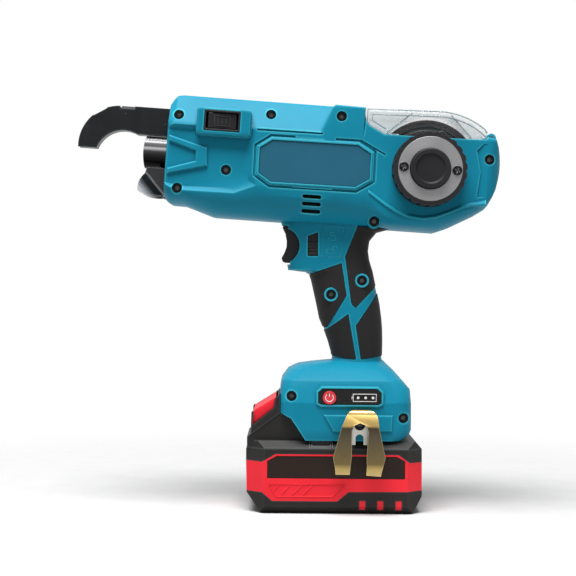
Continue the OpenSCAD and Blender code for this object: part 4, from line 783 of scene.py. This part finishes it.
# A painted highlight lightens the outer edges.
painted_edge_light(where, tone, (0.075, 0.077, 0.08, 1), 0.0009, 1.2).feed(shader, "Base Color")
(0.42 + 0.2 * pebble).feed(shader, "Roughness")
shader.inputs["Specular IOR Level"].default_value = 0.2
bumped(shader, pebble, 0.2, 0.0001)
for node in ("battery_lower_case", "battery_upper_case"):
    rounded(node, case, "battery_black", 0.0006)
band, shader, where = finish_named("battery_red")
pebble = noise(where, 1900.0, 3.0)
cloud = noise(where, 26.0, 4.0)
tones(cloud, [(0.3, (0.74, 0.016, 0.03)), (0.7, (0.86, 0.024, 0.04))]).feed(shader, "Base Color")
(0.42 + 0.16 * pebble).feed(shader, "Roughness")
shader.inputs["Specular IOR Level"].default_value = 0.2
bumped(shader, pebble, 0.12, 0.0001)
for node, width in (("battery_bumper", 0.0004), ("battery_latch", 0.0)):
    rounded(node, band, "battery_red", width)
hole = [(-0.0512, 0.0561), (-0.0373, 0.0674), (-0.0364, 0.0741), (-0.0504, 0.0655)]
brim = [(-0.0523, 0.0501), (-0.0336, 0.0639), (-0.0336, 0.0759), (-0.0519, 0.0646)]
cheek = [[brim[k - 1], brim[k], hole[k], hole[k - 1]] for k in (0, 1, 2)]
side_sheet("latch_cheek_left", cheek, -0.0296, -0.0273, case, "battery_black", "battery")
side_sheet("latch_cheek_right", cheek, 0.0273, 0.0296, case, "battery_black", "battery")
gauge_grey, shader, where = finish_named("gauge_grey")
fine = noise(where, 900.0, 3.0)
tones(fine, [(0.3, (0.1, 0.1, 0.105)), (0.7, (0.17, 0.17, 0.178))]).feed(shader, "Base Color")
(0.4 + 0.2 * fine).feed(shader, "Roughness")
bare, shader, where = finish_named("bare_label")
fine = noise(where, 800.0, 3.0)
tones(fine, [(0.3, (0.017, 0.0098, 0.0072)), (0.7, (0.022, 0.0128, 0.0094))]).feed(shader, "Base Color")
(0.4 + 0.1 * fine).feed(shader, "Roughness")
shader.inputs["Specular IOR Level"].default_value = 0.15
rounded("battery_labels", bare, "battery_label")
ribs = [[(-0.0378, 0.0137), (-0.034, 0.0183)], [(-0.0324, 0.0126), (-0.0268, 0.0183)],
        [(-0.0249, 0.0126), (-0.0190, 0.0183)], [(-0.018, 0.0126), (-0.0122, 0.0183)],
        [(-0.0405, 0.0191), (0.0088, 0.0192), (0.0004, 0.0113), (-0.0351, 0.0111), (-0.0405, 0.0191)]]
bumper_ribs = [on_side("battery_bumper", line) for line in ribs]
bead("bumper_ribs", bumper_ribs, 0.0009, band, "battery_red", "battery")
gauge = [(-0.0142, 0.0424), (0.0005, 0.0424), (0.0005, 0.0461), (-0.0142, 0.0461), (-0.0142, 0.0424)]
window = [(-0.0128, 0.0431), (-0.0006, 0.0431), (-0.0006, 0.0453), (-0.0128, 0.0453), (-0.0128, 0.0431)]
gauge_lines = [on_side("battery_upper_case", line) for line in (gauge, window)]
bead("gauge_frame", gauge_lines, 0.0006, gauge_grey, "battery_black", "battery")

# Drive: hardened gears, jaws, cutter and wire guides in oiled steel, turned and cut from bar, that only show
# when the covers are off or through the barrel's mouth.
for node in ("cutter_anvil", "sun_pinion", "ring_gear", "planet_1", "planet_2", "planet_3", "planet_carrier",
             "jaw_upper", "jaw_lower", "feed_pinion", "feed_roller_drive", "feed_roller_driven",
             "feed_bracket", "wire_guides", "cover_hinge_pin"):
    rounded(node, milled, "gear_steel", 0.0001, 1)
rounded("cutter_blade", polish, "sheet_steel", 0.0002)

# Motors: deep-drawn steel cans, coloured near black as painted shade for the dark inside of the housing,
# with the shaft of each in its end, held by ribs of the housing, one behind the twisting gears and one beside
# the feed rollers.
can, shader, where = finish_named("motor_can")
drawn_lines = noise(stretched(where, 60.0, 900.0, 900.0), 1.0)
tones(drawn_lines, [(0.3, (0.016, 0.016, 0.017)), (0.7, (0.035, 0.035, 0.036))]).feed(shader, "Base Color")
(0.5 + 0.2 * drawn_lines).feed(shader, "Roughness")
shader.inputs["Metallic"].default_value = 0.8
for node in ("twist_motor", "feed_motor"):
    rounded(node, can, "motor_can", 0.0006)

# Bearing: a sintered bronze bush with open pores that hold oil, pressed into the nose behind the barrel,
# where the twisting spindle turns in it.
bronze, shader, where = finish_named("sintered_bronze")
pores = where.node("ShaderNodeTexVoronoi", {}, {"Vector": where, "Scale": 2400.0}, "Distance")
tones(pores, [(0.1, (0.12, 0.07, 0.03)), (0.4, (0.36, 0.22, 0.09))]).feed(shader, "Base Color")
(0.3 + 0.3 * pores).feed(shader, "Roughness")
shader.inputs["Metallic"].default_value = 1.0
rounded("spindle_bearing", bronze, "bearing_bronze", 0.0003)

# Springs: music wire, cold coiled. One behind the trigger shortens as it is pressed, and one round the
# knob's spindle stretches between the housing and the knob as it is pulled.
music, shader, where = finish_named("spring_wire")
fine = noise(where, 2000.0, 3.0)
tones(fine, [(0.3, (0.25, 0.25, 0.26)), (0.7, (0.42, 0.42, 0.43))]).feed(shader, "Base Color")
(0.22 + 0.2 * fine).feed(shader, "Roughness")
shader.inputs["Metallic"].default_value = 1.0
pushed = rounded("trigger_spring", music, "spring_steel", turn=60)
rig.squash(pushed, "trigger_press", axis=(1, 0, 0), anchor=(-0.0125, 0, 0.173), keep=0.6)
pulled = rounded("knob_spring", music, "spring_steel", turn=60, rides=False)
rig.blend(pulled, "tool", "reel_spindle", start=(0.061, -0.0326, 0.2216), end=(0.061, -0.0426, 0.2216))

# Board: glass-epoxy laminate under green lacquer with copper tracks and its parts soldered on, pushed into
# slots of the foot.
laminate, shader, where = finish_named("green_laminate")
where.node("ShaderNodeTexBrick", {"offset": 0.37}, {
    "Vector": where, "Scale": 220.0, "Color1": (0.01, 0.075, 0.03, 1), "Color2": (0.012, 0.06, 0.026, 1),
    "Mortar": (0.02, 0.13, 0.05, 1), "Mortar Size": 0.03}).feed(shader, "Base Color")
(0.25 + 0.2 * noise(where, 300.0)).feed(shader, "Roughness")
rounded("controller_board", laminate, "circuit_board", 0.0001)

# Terminals: a dark grey thermoset block, moulded round tinned blades that the battery slides on to, held
# between the two halves of the foot.
block, shader, where = finish_named("terminal_grey")
fine = noise(where, 1500.0, 3.0)
tones(fine, [(0.3, (0.03, 0.03, 0.032)), (0.7, (0.045, 0.045, 0.048))]).feed(shader, "Base Color")
(0.45 + 0.2 * fine).feed(shader, "Roughness")
rounded("terminal_block", block, "terminal_plastic", 0.0002)

# Cells: ten steel cans in shrunk blue film sleeves, welded together by strips and packed in two rows in the
# battery's lower case.
sleeve, shader, where = finish_named("cell_sleeve")
shrink = noise(where, 200.0, 4.0)
tones(shrink, [(0.3, (0.02, 0.07, 0.2)), (0.7, (0.03, 0.1, 0.27))]).feed(shader, "Base Color")
(0.25 + 0.2 * shrink).feed(shader, "Roughness")
rounded("battery_cells", sleeve, "cell_wrap", 0.0006)

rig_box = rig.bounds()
json.dump({"cad": [list(map(float, p)) for p in cad_box], "visual": [list(map(float, p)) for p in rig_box]},
          open("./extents.json", "w"))
